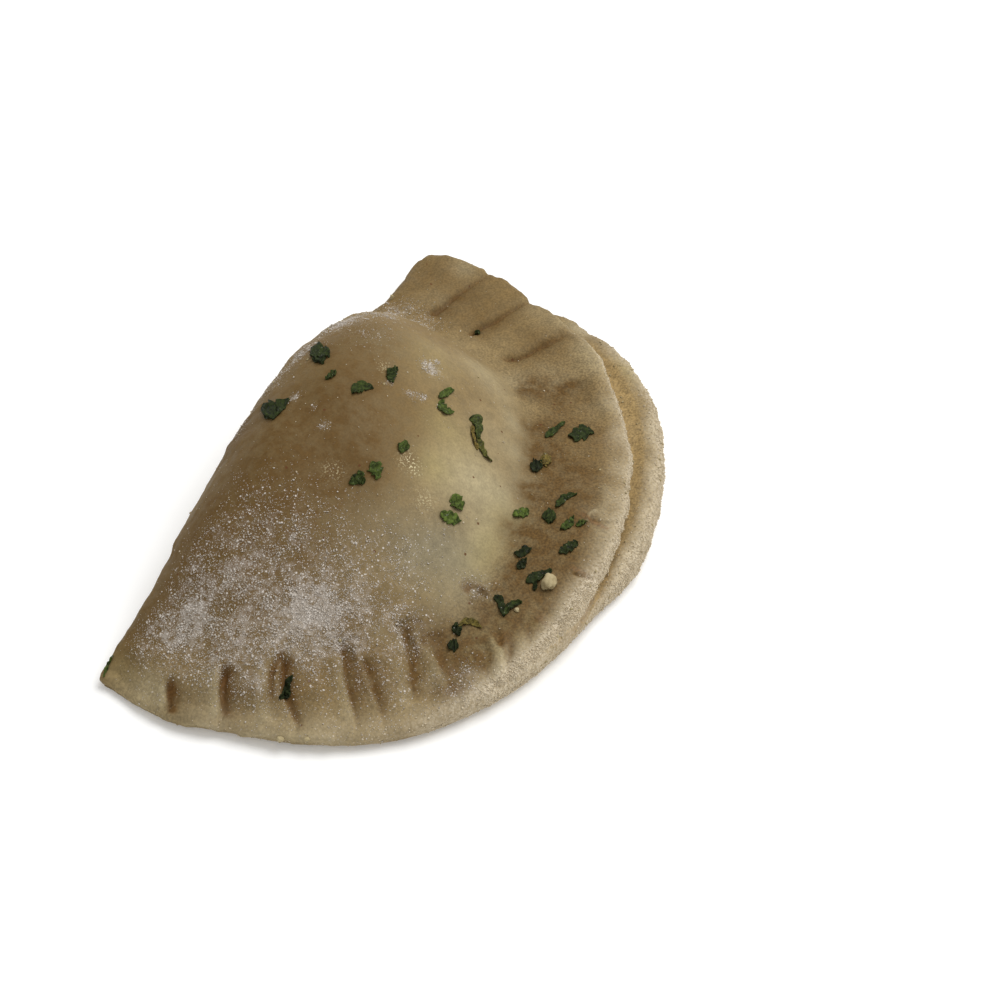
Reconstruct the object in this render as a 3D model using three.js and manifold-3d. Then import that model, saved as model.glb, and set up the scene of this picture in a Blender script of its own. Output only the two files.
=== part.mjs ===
// A half-moon empanada of unbaked wheat dough: one round sheet folded over a filling and sealed along
// a crimped rim, with flakes of dried parsley lying on it. Millimetres, +Z up, flat underside on z = 0.
//
// The plan is drawn from the middle of the fold: x runs along the fold and the sealed rim faces -y. The
// walk along the rim goes from the left corner (share 0) by way of the front to the right corner
// (share 1). The finished piece stands with the middle of its box on the z axis.

import * as THREE from "three";
import { mergeVertices } from "three/addons/utils/BufferGeometryUtils.js";
import Module from "manifold-3d";

const { clamp, degToRad, lerp, smoothstep } = THREE.MathUtils;

// Plan: share of the rim walk, and distance from the middle of the fold
const UPPER_LEAF = [
  [0, 50.8],
  [0.05, 52.8],
  [0.09, 53.4],
  [0.15, 55],
  [0.21, 56.4],
  [0.25, 56.5],
  [0.31, 55.6],
  [0.37, 54.2],
  [0.43, 52.5],
  [0.5, 51.3],
  [0.58, 50.3],
  [0.68, 50.1],
  [0.76, 50.5],
  [0.84, 49],
  [0.93, 48.9],
  [1, 48.1],
];
const LOWER_LEAF = [
  [0, 50],
  [0.05, 52.6],
  [0.09, 53.2],
  [0.15, 54.9],
  [0.21, 56.3],
  [0.25, 56.5],
  [0.31, 55.6],
  [0.37, 54.9],
  [0.5, 54.6],
  [0.6, 54.6],
  [0.7, 55.3],
  [0.76, 54.6],
  [0.82, 52.2],
  [0.88, 48.8],
  [1, 47.4],
];
const MOUND_FOOT = [
  [0, 45],
  [0.1, 48],
  [0.2, 45.5],
  [0.3, 43.5],
  [0.42, 40.5],
  [0.55, 37],
  [0.7, 34.5],
  [0.85, 31],
  [1, 30],
];
const HUB = new THREE.Vector2(-2, -15); // where the upright cuts through the dough meet

// Fold. Each pair holds a size where the fold is flat and where it is plumpest.
const FOLD_HALF_LENGTH = 50;
const PLUMP_FROM = -55; // the filling's reach along the fold
const PLUMP_TO = 35;
const PLUMP_POWER = 1.4;
const FOLD_SWELL = 3.6; // past the straight line between the corners
const FOLD_WAIST = [3, 7.1]; // height of its widest line
const FOLD_UNDERCUT = [3, 7]; // how far it turns in below that line
const SHOULDER_WIDTH = [5.6, 19.5]; // how far its roll reaches over the top
const SHOULDER_POWER = 2;
const LEFT_CORNER_POWER = 70; // higher is sharper
const RIGHT_CORNER_POWER = 18;

// Mound of filling
const MOUND_RISE = 17.1;
const MOUND_FULLNESS = 2.4; // higher is flatter on top and steeper at the foot
const MOUND_EASE = 1.15;

// Sealed rim: share of the rim walk, and thickness at the outline
const RIM_THICKNESS = [
  [0, 3.8],
  [0.1, 3.2],
  [0.3, 3.9],
  [0.42, 4.7],
  [0.55, 5.2],
  [0.8, 5.4],
  [1, 5],
];
const RIM_THICKNESS_BY_MOUND = 5.2;

// Leaf edges: share of the rim walk, and how far the upper leaf's rounding reaches in from its outline
const LEAF_ROUNDING = [
  [0, 1],
  [0.36, 1.3],
  [0.5, 2.1],
  [0.75, 2.1],
  [0.85, 1.4],
  [1, 1.6],
];
const SEAM_HEIGHT_SHARE = 0.54; // of the rim's thickness
const SEAM_DEPTH = [0.4, 1.8]; // where the leaves are sealed and where they fan open
const FANNED_FROM = [0.36, 0.5]; // share of the rim walk over which they open
const LOWER_LIP_WIDTH = 2.6; // raised edge of the lower leaf outside the seam
const LOWER_LIP_ROUNDING = 1.2;
const SEAM_DIP = 0.7; // how far the seam's floor lies below that edge

// Crimps in the upper leaf: degrees along the rim walk, inner and outer reach from the middle of the
// fold, depth, and width of the gentle side. The steep side faces the nearer corner.
const CRIMPS = [
  { at: 10.6, from: 47.5, to: 54, depth: 1.5, width: 3.5 },
  { at: 18.2, from: 44.5, to: 54.5, depth: 1.6, width: 4.5 },
  { at: 27.2, from: 42.5, to: 54.5, depth: 1.6, width: 4.5 },
  { at: 36.7, from: 42, to: 54.5, depth: 1.1, width: 2.4 },
  { at: 40.2, from: 43.5, to: 52.5, depth: 1.3, width: 3.5 },
  { at: 46.2, from: 40.5, to: 52.5, depth: 1.3, width: 3.2 },
  { at: 51.4, from: 41.5, to: 53.5, depth: 1.1, width: 4 },
  { at: 60, from: 47.5, to: 53, depth: 1.1, width: 4 },
  { at: 66, from: 40.5, to: 47.5, depth: 1, width: 4 },
  { at: 80, from: 38, to: 48, depth: 1, width: 4.5 },
  { at: 99, from: 36, to: 46, depth: 0.9, width: 5 },
  { at: 111.8, from: 33.5, to: 44, depth: 1, width: 5 },
  { at: 129, from: 34, to: 48.5, depth: 1.3, width: 5 },
  { at: 141.5, from: 35, to: 49.5, depth: 1.6, width: 5 },
  { at: 154.2, from: 36, to: 50.5, depth: 1.8, width: 5.5 },
  { at: 166, from: 35.5, to: 50.5, depth: 1.8, width: 5.5 },
];
const CRIMP_STEEP_WIDTH = 0.9;
const CRIMP_FADE = 0.55; // share of its depth lost on the way out

// Parsley: plan place, length, width, and turn from the x axis in degrees
const FLAKES = [
  { x: -3.3, y: -7.1, length: 3.4, width: 2.3, turn: 44 },
  { x: 0.1, y: -16.1, length: 3.3, width: 1.6, turn: 17 },
  { x: -6.1, y: -10.1, length: 2.2, width: 1.2, turn: 166 },
  { x: -5.8, y: -14.1, length: 3.6, width: 1.7, turn: 146 },
  { x: 1.6, y: -21.8, length: 2.8, width: 1.8, turn: 30 },
  { x: 3.4, y: -24.6, length: 3.2, width: 2, turn: 10 },
  { x: -13.9, y: -5.5, length: 4.6, width: 3.2, turn: 175 },
  { x: 2.7, y: -28, length: 5.5, width: 1.9, turn: 27 },
  { x: 14.3, y: -35.6, length: 4.6, width: 1.7, turn: 169 },
  { x: 15.3, y: -39.1, length: 4.6, width: 2.6, turn: 152 },
  { x: -10.1, y: -22.4, length: 2.4, width: 1.6, turn: 172 },
  { x: 5.8, y: -36, length: 3.1, width: 1.9, turn: 9 },
  { x: -15.3, y: -20.8, length: 3.2, width: 2.3, turn: 13 },
  { x: -17.8, y: -19.6, length: 2.8, width: 1.9, turn: 132 },
  { x: 1, y: -42, length: 4.2, width: 2, turn: 169 },
  { x: -10.9, y: -30.6, length: 2.6, width: 2, turn: 28 },
  { x: -4, y: -37.7, length: 2.6, width: 1.8, turn: 124 },
  { x: -2.9, y: -41.6, length: 3.2, width: 2.5, turn: 21 },
  { x: -13.4, y: -31, length: 3, width: 2, turn: 123 },
  { x: -3.2, y: -44.1, length: 3.4, width: 1.6, turn: 170 },
  { x: -7.5, y: -45.9, length: 3.8, width: 1.9, turn: 158 },
  { x: -11.5, y: -40.9, length: 4.1, width: 2.2, turn: 9 },
  { x: -14.3, y: -44.1, length: 4.8, width: 2.5, turn: 166 },
  { x: -19.6, y: -42.4, length: 3.8, width: 2, turn: 60 },
  { x: -21.2, y: -41, length: 3.4, width: 1.9, turn: 5 },
  { x: -26.5, y: -37.8, length: 2.4, width: 1.9, turn: 14 },
  { x: -28.9, y: -38.4, length: 2.6, width: 1.9, turn: 34 },
  { x: -43.6, y: -21.7, length: 4.8, width: 1.8, turn: 7 },
];
const FLAKE_THICKNESS = 0.6;
const FLAKE_SINK = 0.25;
const FLAKE_CURL = 0.14;
const FLAKE_LOBES = 4;

// Grid of the dough
const CRIMP_COLUMNS = [-1.1, 0, 1.3, 3.2]; // degrees from a crimp's line, towards the rim's middle
const PLAIN_COLUMN_STEP = 2.2; // degrees along the rim walk
const FOLD_COLUMN_STEP = 2.9;
const CRIMP_COLUMN_AIM = 0.88; // share of the rim's outline at which the columns meet the crimps
const TOP_ROWS = 18;
const UPPER_NOSE_TURNS = [58, 28, -5, -55]; // degrees above the horizontal, round a leaf's edge
const LOWER_NOSE_TURNS = [100, 50, 10, -35, -90];
const UNDERSIDE_ROWS = [0.82, 0.45, 0];

// Smooth curve through a few [x, y] points
function curveThrough(points) {
  const slopes = points.map((_, i) => {
    const before = points[Math.max(i - 1, 0)];
    const after = points[Math.min(i + 1, points.length - 1)];
    return (after[1] - before[1]) / (after[0] - before[0]);
  });
  return (x) => {
    const after = points.findIndex(([knot]) => knot > x);
    const i = after < 0 ? points.length - 2 : Math.max(after - 1, 0);
    const span = points[i + 1][0] - points[i][0];
    const t = clamp((x - points[i][0]) / span, 0, 1);
    return (
      points[i][1] * (2 * t ** 3 - 3 * t ** 2 + 1) +
      slopes[i] * span * (t ** 3 - 2 * t ** 2 + t) +
      points[i + 1][1] * (3 * t ** 2 - 2 * t ** 3) +
      slopes[i + 1] * span * (t ** 3 - t ** 2)
    );
  };
}

const upperLeafAt = curveThrough(UPPER_LEAF);
const lowerLeafAt = curveThrough(LOWER_LEAF);
const moundFootAt = curveThrough(MOUND_FOOT);
const rimThicknessAt = curveThrough(RIM_THICKNESS);
const leafRoundingAt = curveThrough(LEAF_ROUNDING);

// 1 where the filling plumps the fold most, 0 where it is flat
function plumpness(x) {
  return clamp(1 - (x / (x < 0 ? PLUMP_FROM : PLUMP_TO)) ** PLUMP_POWER, 0, 1);
}

function foldLine(x) {
  return FOLD_SWELL * plumpness(x);
}

function foldWaist(x) {
  return lerp(...FOLD_WAIST, plumpness(x));
}

// Share of the rim walk; a point behind the fold's straight line counts as the nearer corner
function rimShare({ x, y }) {
  if (y >= 0) {
    return x < 0 ? 0 : 1;
  }
  return 1 + Math.atan2(y, x) / Math.PI;
}

// Depth of one crimp at a plan point
function crimpDepth(crimp, point) {
  const out = point.length();
  const side = crimp.at < 90 ? 1 : -1;
  const across = degToRad(180 * rimShare(point) - crimp.at) * out * side;
  const steep = clamp(1 + across / CRIMP_STEEP_WIDTH, 0, 1) ** 1.5;
  const gentle = 0.75 * clamp(1 - across / crimp.width, 0, 1) ** 2;
  const crease = 0.25 * Math.exp(-((across / 0.7) ** 2));
  const start = smoothstep(out, crimp.from - 0.8, crimp.from + 1.2);
  const fade = 1 - CRIMP_FADE * smoothstep(out, crimp.from + 2, crimp.to + 0.5);
  const end = 1 - smoothstep(out, crimp.to - 1, crimp.to + 1.5);
  return crimp.depth * (across < 0 ? steep : gentle + crease) * start * fade * end;
}

// Height of the top at a plan point: the rim's upper leaf, the mound, and the roll over the fold
function topHeight(point) {
  const { x, y } = point;
  const out = point.length();
  const share = rimShare(point);
  const foot = moundFootAt(share);
  const edge = upperLeafAt(share);
  const inwards = smoothstep((edge - out) / Math.max(edge - foot, 1), 0, 1);
  const rim = lerp(rimThicknessAt(share), RIM_THICKNESS_BY_MOUND, inwards);
  const mound = Math.max(1 - (out / foot) ** MOUND_FULLNESS, 0) ** MOUND_EASE;
  const wave = 0.3 * Math.sin(0.16 * x + 1.1) * Math.cos(0.14 * y + 0.3);
  const ripple = 0.12 * Math.sin(0.37 * x - 0.31 * y);
  const crimps = Math.max(...CRIMPS.map((crimp) => crimpDepth(crimp, point)));
  const open = rim + MOUND_RISE * mound + (wave + ripple) * (0.3 + mound) - crimps;
  const inFromFold = (foldLine(x) - y) / lerp(...SHOULDER_WIDTH, plumpness(x));
  const roll = (1 - (1 - clamp(inFromFold, 0, 1)) ** SHOULDER_POWER) ** (1 / SHOULDER_POWER);
  return lerp(foldWaist(x), Math.max(open, foldWaist(x) + 0.3), roll);
}

// Distance from the hub to the upper leaf's outline
function reachOfRim(direction) {
  const inwards = -direction.dot(HUB);
  let radius = UPPER_LEAF[0][1];
  let reach = 0;
  for (let round = 0; round < 6; round += 1) {
    reach = inwards + Math.sqrt(inwards ** 2 + radius ** 2 - HUB.lengthSq());
    radius = upperLeafAt(rimShare(HUB.clone().addScaledVector(direction, reach)));
  }
  return reach;
}

// Distance from the hub to the fold
function reachOfFold(direction) {
  if (direction.y < 0.02) {
    return Infinity;
  }
  const x = HUB.x - (direction.x * HUB.y) / direction.y;
  return (foldLine(x) - HUB.y) / direction.y;
}

// Edge of the sealed rim from the top down: outwards offset from the upper leaf's outline, and height
function leafEdges(share, top, lip) {
  const seam = SEAM_HEIGHT_SHARE * top;
  const openness = smoothstep(share, ...FANNED_FROM);
  const depth = Math.max(lerp(...SEAM_DEPTH, openness), LOWER_LIP_ROUNDING + 0.3 - lip);
  const dip = SEAM_DIP * openness;
  const nose = (overhang, rounding, low, high, turn) => [
    overhang - rounding * (1 - Math.cos(degToRad(turn))),
    (low + high) / 2 + ((high - low) / 2) * Math.sin(degToRad(turn)),
  ];
  return [
    ...UPPER_NOSE_TURNS.map((turn) => nose(0, leafRoundingAt(share), seam, top, turn)),
    [-depth, seam - dip],
    [Math.max(lip - LOWER_LIP_WIDTH, 0.3 - depth), seam - dip],
    ...LOWER_NOSE_TURNS.map((turn) => nose(lip, LOWER_LIP_ROUNDING, 0, seam, turn)),
  ];
}

// Side of the fold from its widest line down, in as many steps as the rim's edge
function foldSide(x, steps) {
  const undercut = lerp(...FOLD_UNDERCUT, plumpness(x));
  return Array.from({ length: steps }, (_, i) => {
    const turn = (Math.PI / 2) * ((i + 1) / steps);
    return [-undercut * (1 - Math.cos(turn)), foldWaist(x) * (1 - Math.sin(turn))];
  });
}

// Points of one upright cut through the dough, from the hub's top over the edge to the hub's underside
function cut(turn) {
  const direction = new THREE.Vector2(Math.cos(turn), Math.sin(turn));
  const toRim = reachOfRim(direction);
  const toFold = reachOfFold(direction);
  const sharpness = direction.x < 0 ? LEFT_CORNER_POWER : RIGHT_CORNER_POWER;
  const reach = (toRim ** -sharpness + toFold ** -sharpness) ** (-1 / sharpness);
  const rimness = smoothstep(Math.log(toFold / toRim), -0.05, 0.05);
  const at = (distance, height) => {
    const plan = HUB.clone().addScaledVector(direction, distance);
    return [plan.x, plan.y, height ?? topHeight(plan)];
  };

  const [x, y] = at(reach, 0);
  const share = rimShare(new THREE.Vector2(x, y));
  const topReach = reach - leafRoundingAt(share) * rimness;
  const roundness = (1 - rimness) * plumpness(x);
  const top = Array.from({ length: TOP_ROWS + 1 }, (_, row) => {
    const s = row / TOP_ROWS;
    return at(topReach * lerp(s ** 0.85, Math.sin((s * Math.PI) / 2), roundness));
  });

  const lip = (lowerLeafAt(share) - upperLeafAt(share)) * rimness;
  const leaves = leafEdges(share, top[TOP_ROWS][2], lip);
  const fold = foldSide(x, leaves.length);
  const side = leaves.map(([offset, height], i) =>
    at(reach + lerp(fold[i][0], offset, rimness), lerp(fold[i][1], height, rimness)),
  );

  const [underX, underY] = side[side.length - 1];
  const underReach = Math.hypot(underX - HUB.x, underY - HUB.y);
  const underside = UNDERSIDE_ROWS.map((share) => at(underReach * share, 0));
  return [...top, ...side, ...underside];
}

// Turns of the cuts about the hub: close by the crimps, wider elsewhere
function cutTurns() {
  const crimped = CRIMPS.flatMap(({ at }) => CRIMP_COLUMNS.map((step) => at + (at < 90 ? step : -step)));
  const plain = Array.from({ length: Math.floor(180 / PLAIN_COLUMN_STEP) }, (_, i) => i * PLAIN_COLUMN_STEP);
  const open = plain.filter((angle) => crimped.every((other) => Math.abs(other - angle) > PLAIN_COLUMN_STEP / 2));
  const rim = [...crimped, ...open].map((angle) => {
    const out = upperLeafAt(angle / 180) * CRIMP_COLUMN_AIM;
    return new THREE.Vector2(-out * Math.cos(degToRad(angle)), -out * Math.sin(degToRad(angle)));
  });
  const folds = Math.round((2 * FOLD_HALF_LENGTH) / FOLD_COLUMN_STEP);
  const fold = Array.from({ length: folds }, (_, i) => {
    const x = FOLD_HALF_LENGTH * (1 - (2 * (i + 0.5)) / folds);
    return new THREE.Vector2(x, foldLine(x));
  });
  return [...rim, ...fold]
    .map((point) => (point.sub(HUB).angle() + Math.PI) % (2 * Math.PI))
    .sort((a, b) => a - b)
    .filter((turn, i, turns) => i === 0 || turn - turns[i - 1] > degToRad(0.5))
    .map((turn) => turn + Math.PI);
}

function doughGeometry() {
  const cuts = cutTurns().map(cut);
  const geometry = new THREE.SphereGeometry(1, cuts.length, cuts[0].length - 1);
  const position = geometry.getAttribute("position");
  for (let i = 0; i < position.count; i += 1) {
    const column = (i % (cuts.length + 1)) % cuts.length;
    const row = Math.floor(i / (cuts.length + 1));
    position.setXYZ(i, ...cuts[column][row]);
  }
  return geometry;
}

// One leaf scrap: a lobed outline, bent to the dough below it
function flakeGeometry({ x, y, length, width, turn }, index) {
  const corners = Array.from({ length: 2 * FLAKE_LOBES }, (_, i) => {
    const angle = (Math.PI * i) / FLAKE_LOBES;
    const lobe = (i % 2 === 0 ? 1 : 0.66) * (1 + 0.14 * Math.sin(5 * index + 2.3 * i));
    return new THREE.Vector2((length / 2) * lobe * Math.cos(angle), (width / 2) * lobe * 1.25 * Math.sin(angle));
  });
  const geometry = new THREE.ExtrudeGeometry(new THREE.Shape(corners), {
    depth: FLAKE_THICKNESS,
    bevelEnabled: false,
  });
  geometry.rotateZ(degToRad(turn));
  geometry.translate(x, y, -FLAKE_SINK);
  const position = geometry.getAttribute("position");
  for (let i = 0; i < position.count; i += 1) {
    const plan = new THREE.Vector2(position.getX(i), position.getY(i));
    const curl = FLAKE_CURL * Math.sin(2.1 * plan.x + index) * Math.cos(1.7 * plan.y);
    position.setZ(i, position.getZ(i) + topHeight(plan) + curl);
  }
  return geometry;
}

const wasm = await Module();
wasm.setup();

function toSolid(geometry) {
  geometry.deleteAttribute("normal");
  geometry.deleteAttribute("uv");
  const merged = mergeVertices(geometry);
  return new wasm.Manifold(
    new wasm.Mesh({
      numProp: 3,
      vertProperties: merged.getAttribute("position").array,
      triVerts: Uint32Array.from(merged.getIndex().array),
    }),
  );
}

function toGeometry(solid) {
  const { vertProperties, triVerts } = solid.getMesh();
  const geometry = new THREE.BufferGeometry();
  geometry.setAttribute("position", new THREE.BufferAttribute(vertProperties, 3));
  geometry.setIndex(new THREE.BufferAttribute(triVerts, 1));
  geometry.computeVertexNormals();
  return geometry;
}

const whole = FLAKES.map(flakeGeometry).reduce(
  (solid, flake) => solid.add(toSolid(flake)),
  toSolid(doughGeometry()),
);
const geometry = toGeometry(whole);
geometry.computeBoundingBox();
const middle = geometry.boundingBox.getCenter(new THREE.Vector3());
geometry.translate(-middle.x, -middle.y, 0);

const empanada = new THREE.Mesh(
  geometry,
  new THREE.MeshStandardMaterial({ color: 0xc2ad82, roughness: 0.72, metalness: 0 }),
);
empanada.name = "empanada";

const model = new THREE.Group();
model.add(empanada);

export default model;
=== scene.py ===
"""An unbaked empanada: floured raw dough with a crimped rim, flakes of dried parsley, flour and crumbs."""

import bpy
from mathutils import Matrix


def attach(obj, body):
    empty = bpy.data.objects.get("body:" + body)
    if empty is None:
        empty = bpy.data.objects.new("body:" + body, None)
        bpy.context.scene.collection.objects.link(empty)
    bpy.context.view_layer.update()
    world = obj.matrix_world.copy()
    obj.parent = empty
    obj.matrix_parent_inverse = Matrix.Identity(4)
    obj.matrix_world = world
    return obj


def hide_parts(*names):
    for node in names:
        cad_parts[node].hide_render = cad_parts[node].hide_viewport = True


bl_info = {
    "name": "Unbaked Empanada",
    "version": (1, 0, 0),
    "blender": (4, 5, 0),
    "location": "View3D > Sidebar > Empanada",
    "description": "Builds a floured, unbaked empanada with its parsley, flour and crumbs",
    "category": "Add Mesh",
}

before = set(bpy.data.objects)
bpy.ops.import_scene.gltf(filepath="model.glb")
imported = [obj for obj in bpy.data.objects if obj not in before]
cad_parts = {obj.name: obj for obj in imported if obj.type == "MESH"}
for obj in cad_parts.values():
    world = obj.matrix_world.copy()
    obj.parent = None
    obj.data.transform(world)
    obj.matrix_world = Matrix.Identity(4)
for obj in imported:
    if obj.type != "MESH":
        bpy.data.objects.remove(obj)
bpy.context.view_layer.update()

import itertools  # noqa: E402

import bpy  # noqa: E402
import numpy as np  # noqa: E402
from bpy.props import FloatProperty, FloatVectorProperty, IntProperty, PointerProperty  # noqa: E402
from mathutils import Matrix, Vector  # noqa: E402
from mathutils.bvhtree import BVHTree  # noqa: E402

NODE = "empanada"
BODY = "root"
MM = 0.001

# ---------------------------------------------------------------------------------------------------
# Sizes of the dough, in millimetres from the middle of the fold: x along the fold, the rim faces -y.
# The walk along the rim goes from the left corner (share 0) by the front to the right corner (share 1).
# ---------------------------------------------------------------------------------------------------
FOLD_MIDDLE = np.array([1.943, 25.495])  # its plan place in the frame
UPPER_LEAF = [
    (0, 49.8), (0.02, 51.1), (0.045, 52.3), (0.065, 53), (0.08, 52.9), (0.1, 53.3), (0.15, 54.8),
    (0.21, 56.3), (0.25, 56.5), (0.31, 55.8), (0.37, 54.5), (0.43, 52.4), (0.5, 51.1), (0.57, 49.8),
    (0.64, 49.2), (0.7, 49), (0.76, 49.6), (0.84, 48.5), (0.93, 48.7), (1, 48.1),
]
LOWER_LEAF = [
    (0, 49.6), (0.02, 51), (0.045, 52.2), (0.065, 52.9), (0.08, 52.8), (0.1, 53.2), (0.15, 54.7),
    (0.21, 56.3), (0.25, 56.5), (0.31, 55.8), (0.37, 54.8), (0.5, 54.6), (0.6, 54.6), (0.7, 55.3),
    (0.76, 54.6), (0.82, 52.2), (0.88, 48.8), (1, 47.4),
]
MOUND_FOOT = [
    (0, 45), (0.1, 48), (0.2, 45.5), (0.3, 43.5), (0.42, 40.5), (0.55, 37), (0.7, 34.5), (0.85, 31),
    (1, 30),
]
HUB = np.array([-2.0, -15.0])
PLUMP_FROM, PLUMP_TO, PLUMP_POWER = -55.0, 35.0, 1.4
FOLD_SWELL = 3.6
LEFT_CORNER_FLARE = 1.1
FOLD_WAIST = (0.8, 3.0, 7.1)  # left corner, right corner, middle
FOLD_UNDERCUT = (3.0, 7.0)
SHOULDER_WIDTH = (5.6, 19.5)
LEFT_CORNER_POWER, RIGHT_CORNER_POWER = 150.0, 18.0
MOUND_RISE, MOUND_FULLNESS, MOUND_EASE = 17.1, 2.4, 1.15
RIM_THICKNESS = [
    (0, 0.9), (0.02, 1.5), (0.05, 2.1), (0.12, 2.5), (0.22, 3), (0.3, 3.6), (0.42, 4.7), (0.55, 5.2),
    (0.8, 5.4), (1, 5),
]
RIM_THICKNESS_BY_MOUND = 5.2
LEAF_ROUNDING = [
    (0, 0.35), (0.03, 1), (0.08, 2), (0.3, 2.2), (0.5, 1.6), (0.75, 1.5), (0.85, 1.3), (1, 1.6),
]
SEAM_HEIGHT_SHARE = 0.58
SEAM_DEPTH = (0.4, 1.7)
FANNED_FROM = (0.36, 0.5)
LOWER_LIP_WIDTH, LOWER_LIP_ROUNDING = 3.2, 1.2
SEAM_DIP = 0.6
MOUND_FOOT_SOFTNESS = 0.012
EDGE_RAGGED = 0.24  # how far the lips' torn edges stray

# Crimps, each drawn from its inner end outwards. The wall side faces the nearer corner.
# path, depth, width of the wall side, width of the gentle side, depth of the slot at the wall's foot
PINCHED = [
    ([(-48.2, -7.9), (-48.7, -7.9), (-49.6, -8.4), (-51, -9.4), (-52.2, -10.4)], 0.9, 0.9, 2.2, 0.4),
    ([(-44.7, -13.9), (-45.2, -14), (-46.5, -14.4), (-48.2, -15.4), (-50.4, -17.1)], 1.1, 0.9, 3, 0.45),
    ([(-40, -19.6), (-41.3, -19.3), (-42.6, -19.3), (-44, -19.8), (-45.2, -20.5)], 0.5, 0.5, 1.2, 0.3),
    ([(-40.3, -20), (-42.2, -20.7), (-43.9, -21.8), (-45.2, -23.3), (-46.8, -25.2)], 1.1, 0.9, 3.2, 0.35),
    ([(-35.4, -25.9), (-36.8, -26.8), (-38.8, -28), (-41, -29.8), (-43.4, -31.7)], 0.75, 1, 3.4, 0.13),
    ([(-35.6, -29), (-37.6, -31), (-39.7, -32.9), (-41.5, -34.5)], 0.5, 1.1, 2.8, 0.12),
    ([(-28.8, -31.5), (-30.7, -32.8), (-33.7, -34.8), (-36.6, -36.5)], 0.72, 0.9, 3.2, 0.13),
    ([(-28.1, -34.9), (-30, -36.8), (-32.3, -38.9), (-34.2, -40.9)], 0.72, 0.9, 3.2, 0.14),
    ([(-23.8, -42.6), (-25.4, -43.9), (-26.9, -45.5), (-28.6, -46.9)], 0.7, 0.9, 2.6, 0.15),
    ([(-19.9, -36.4), (-18.8, -36.5), (-18.1, -37.2), (-18.4, -38.3)], 0.5, 0.7, 1.6, 0.3),
]
PRESSED = [
    ([(21.8, -27.4), (22.5, -29.5), (24.5, -31.4), (26.9, -33.4)], 0.65, 1.8, 3.6, 0.1),
    ([(28.4, -22.7), (29.2, -23.9), (30.7, -25), (32.3, -25.7), (33.8, -26.7), (36.2, -28.2)],
     0.65, 1.3, 3.6, 0.5),
    ([(31.4, -15.6), (33.8, -16.4), (35.8, -17.6), (38.6, -18.6), (41, -19.7), (43.5, -21.2)],
     0.7, 1.3, 3.8, 0.55),
    ([(33.5, -8.4), (35.1, -9), (37.6, -9.4), (39.9, -10.1), (42.1, -10.9), (46, -12.4)],
     0.7, 1.3, 3.8, 0.55),
]
# Dents of a thumb in the band between the mound and the right lip: place, reach along and across, depth
DENTS = [
    (9.4, -36.6, 3.6, 2.2, 0.5), (1.4, -39.8, 3.2, 2.4, 0.6), (-6.2, -41.8, 3, 2.4, 0.6),
    (-14, -42.6, 3.2, 2.4, 0.6), (-21.4, -42.4, 3, 2.2, 0.55), (-28.4, -41.2, 3.2, 2.2, 0.45),
    (21, -33.5, 3.2, 2, 0.35), (-35, -39.5, 3, 2, 0.3), (16.2, -34.6, 2.6, 2, 0.4),
    (-2.4, -45.4, 2.2, 1.2, 0.3),
]
# Cracks in the lip: path, depth, width
CRACKS = [
    ([(-0.3, -45.2), (-1, -46.2), (-1.3, -48), (-1.6, -49.6)], 0.8, 0.36),
    ([(-10.3, -47.6), (-10.4, -49.3), (-10.8, -51)], 0.7, 0.36),
    ([(-19.5, -46.5), (-20.6, -48.6)], 0.4, 0.4),
]
# Notches between the plates in the outline: place, depth, width
NOTCHES = [
    (45.5, -12.6, 0.9, 1.3), (43.3, -21.2, 0.8, 1.5), (38.4, -29.2, 0.35, 2),
]
# Share of the rim walk over which the band inside the lip is pressed down
PRESSED_FROM, PRESSED_TO = 0.36, 0.78
PRESSED_DEPTH = 0.5
LIP_CREST = 0.35  # how far the right lip stands up over the band
LEAVES_PART = (0.4, 0.47)  # shares of the rim walk over which the two leaves come apart
RIGHT_CORNER = (0.7, 0.85)  # and over which the rim turns into the right corner
UPPER_EDGE_SEED, LOWER_EDGE_SEED = 41, 43
OUTLINE_START = 50.8  # radius from which the outline is worked out
OUTLINE_ROUNDS = 8
LEAST_RISE = 0.02  # of a direction that meets the fold
NO_FOLD = 1e4

# The mesh of the dough
COLUMNS, TOP_ROWS, NOSE_ROWS, SEAM_ROWS, UNDER_ROWS = 600, 108, 13, 9, 14
OUTLINE_TURNS = 9001
FOLD_COLUMNS_SHARE = 0.55  # of the columns that a stretch of rim as long would get
CRIMP_COLUMNS_GAIN = 1.1
# First and last row of the seam
SEAM_ROWS_SPAN = (TOP_ROWS + NOSE_ROWS - 3, TOP_ROWS + NOSE_ROWS + SEAM_ROWS + 1)

# View of the set: where the camera stands, in degrees and millimetres, and pixels of a 1000 x 1000 render
VIEW_AZIMUTH, VIEW_ELEVATION, VIEW_ROLL = -70.7, 43.7, 4.36
VIEW_DISTANCE = 300.0
VIEW_ASIDE = (-30.89, 6.63)
PICTURE = 1000
PICTURE_MIDDLE = (400, 520)  # of the empanada
FOCAL_PIXELS = 2074.0
SENSOR = 36.0


# ---------------------------------------------------------------------------------------------------
# Small helpers
# ---------------------------------------------------------------------------------------------------
def lerp(a, b, t):
    return a + (b - a) * t


def ease(value, start, end):
    t = np.clip((value - start) / (end - start), 0, 1)
    return t * t * (3 - 2 * t)


def bell(t):
    """1 at 0, falling off smoothly to both sides within about 1"""
    return np.exp(-(t**2))


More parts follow.
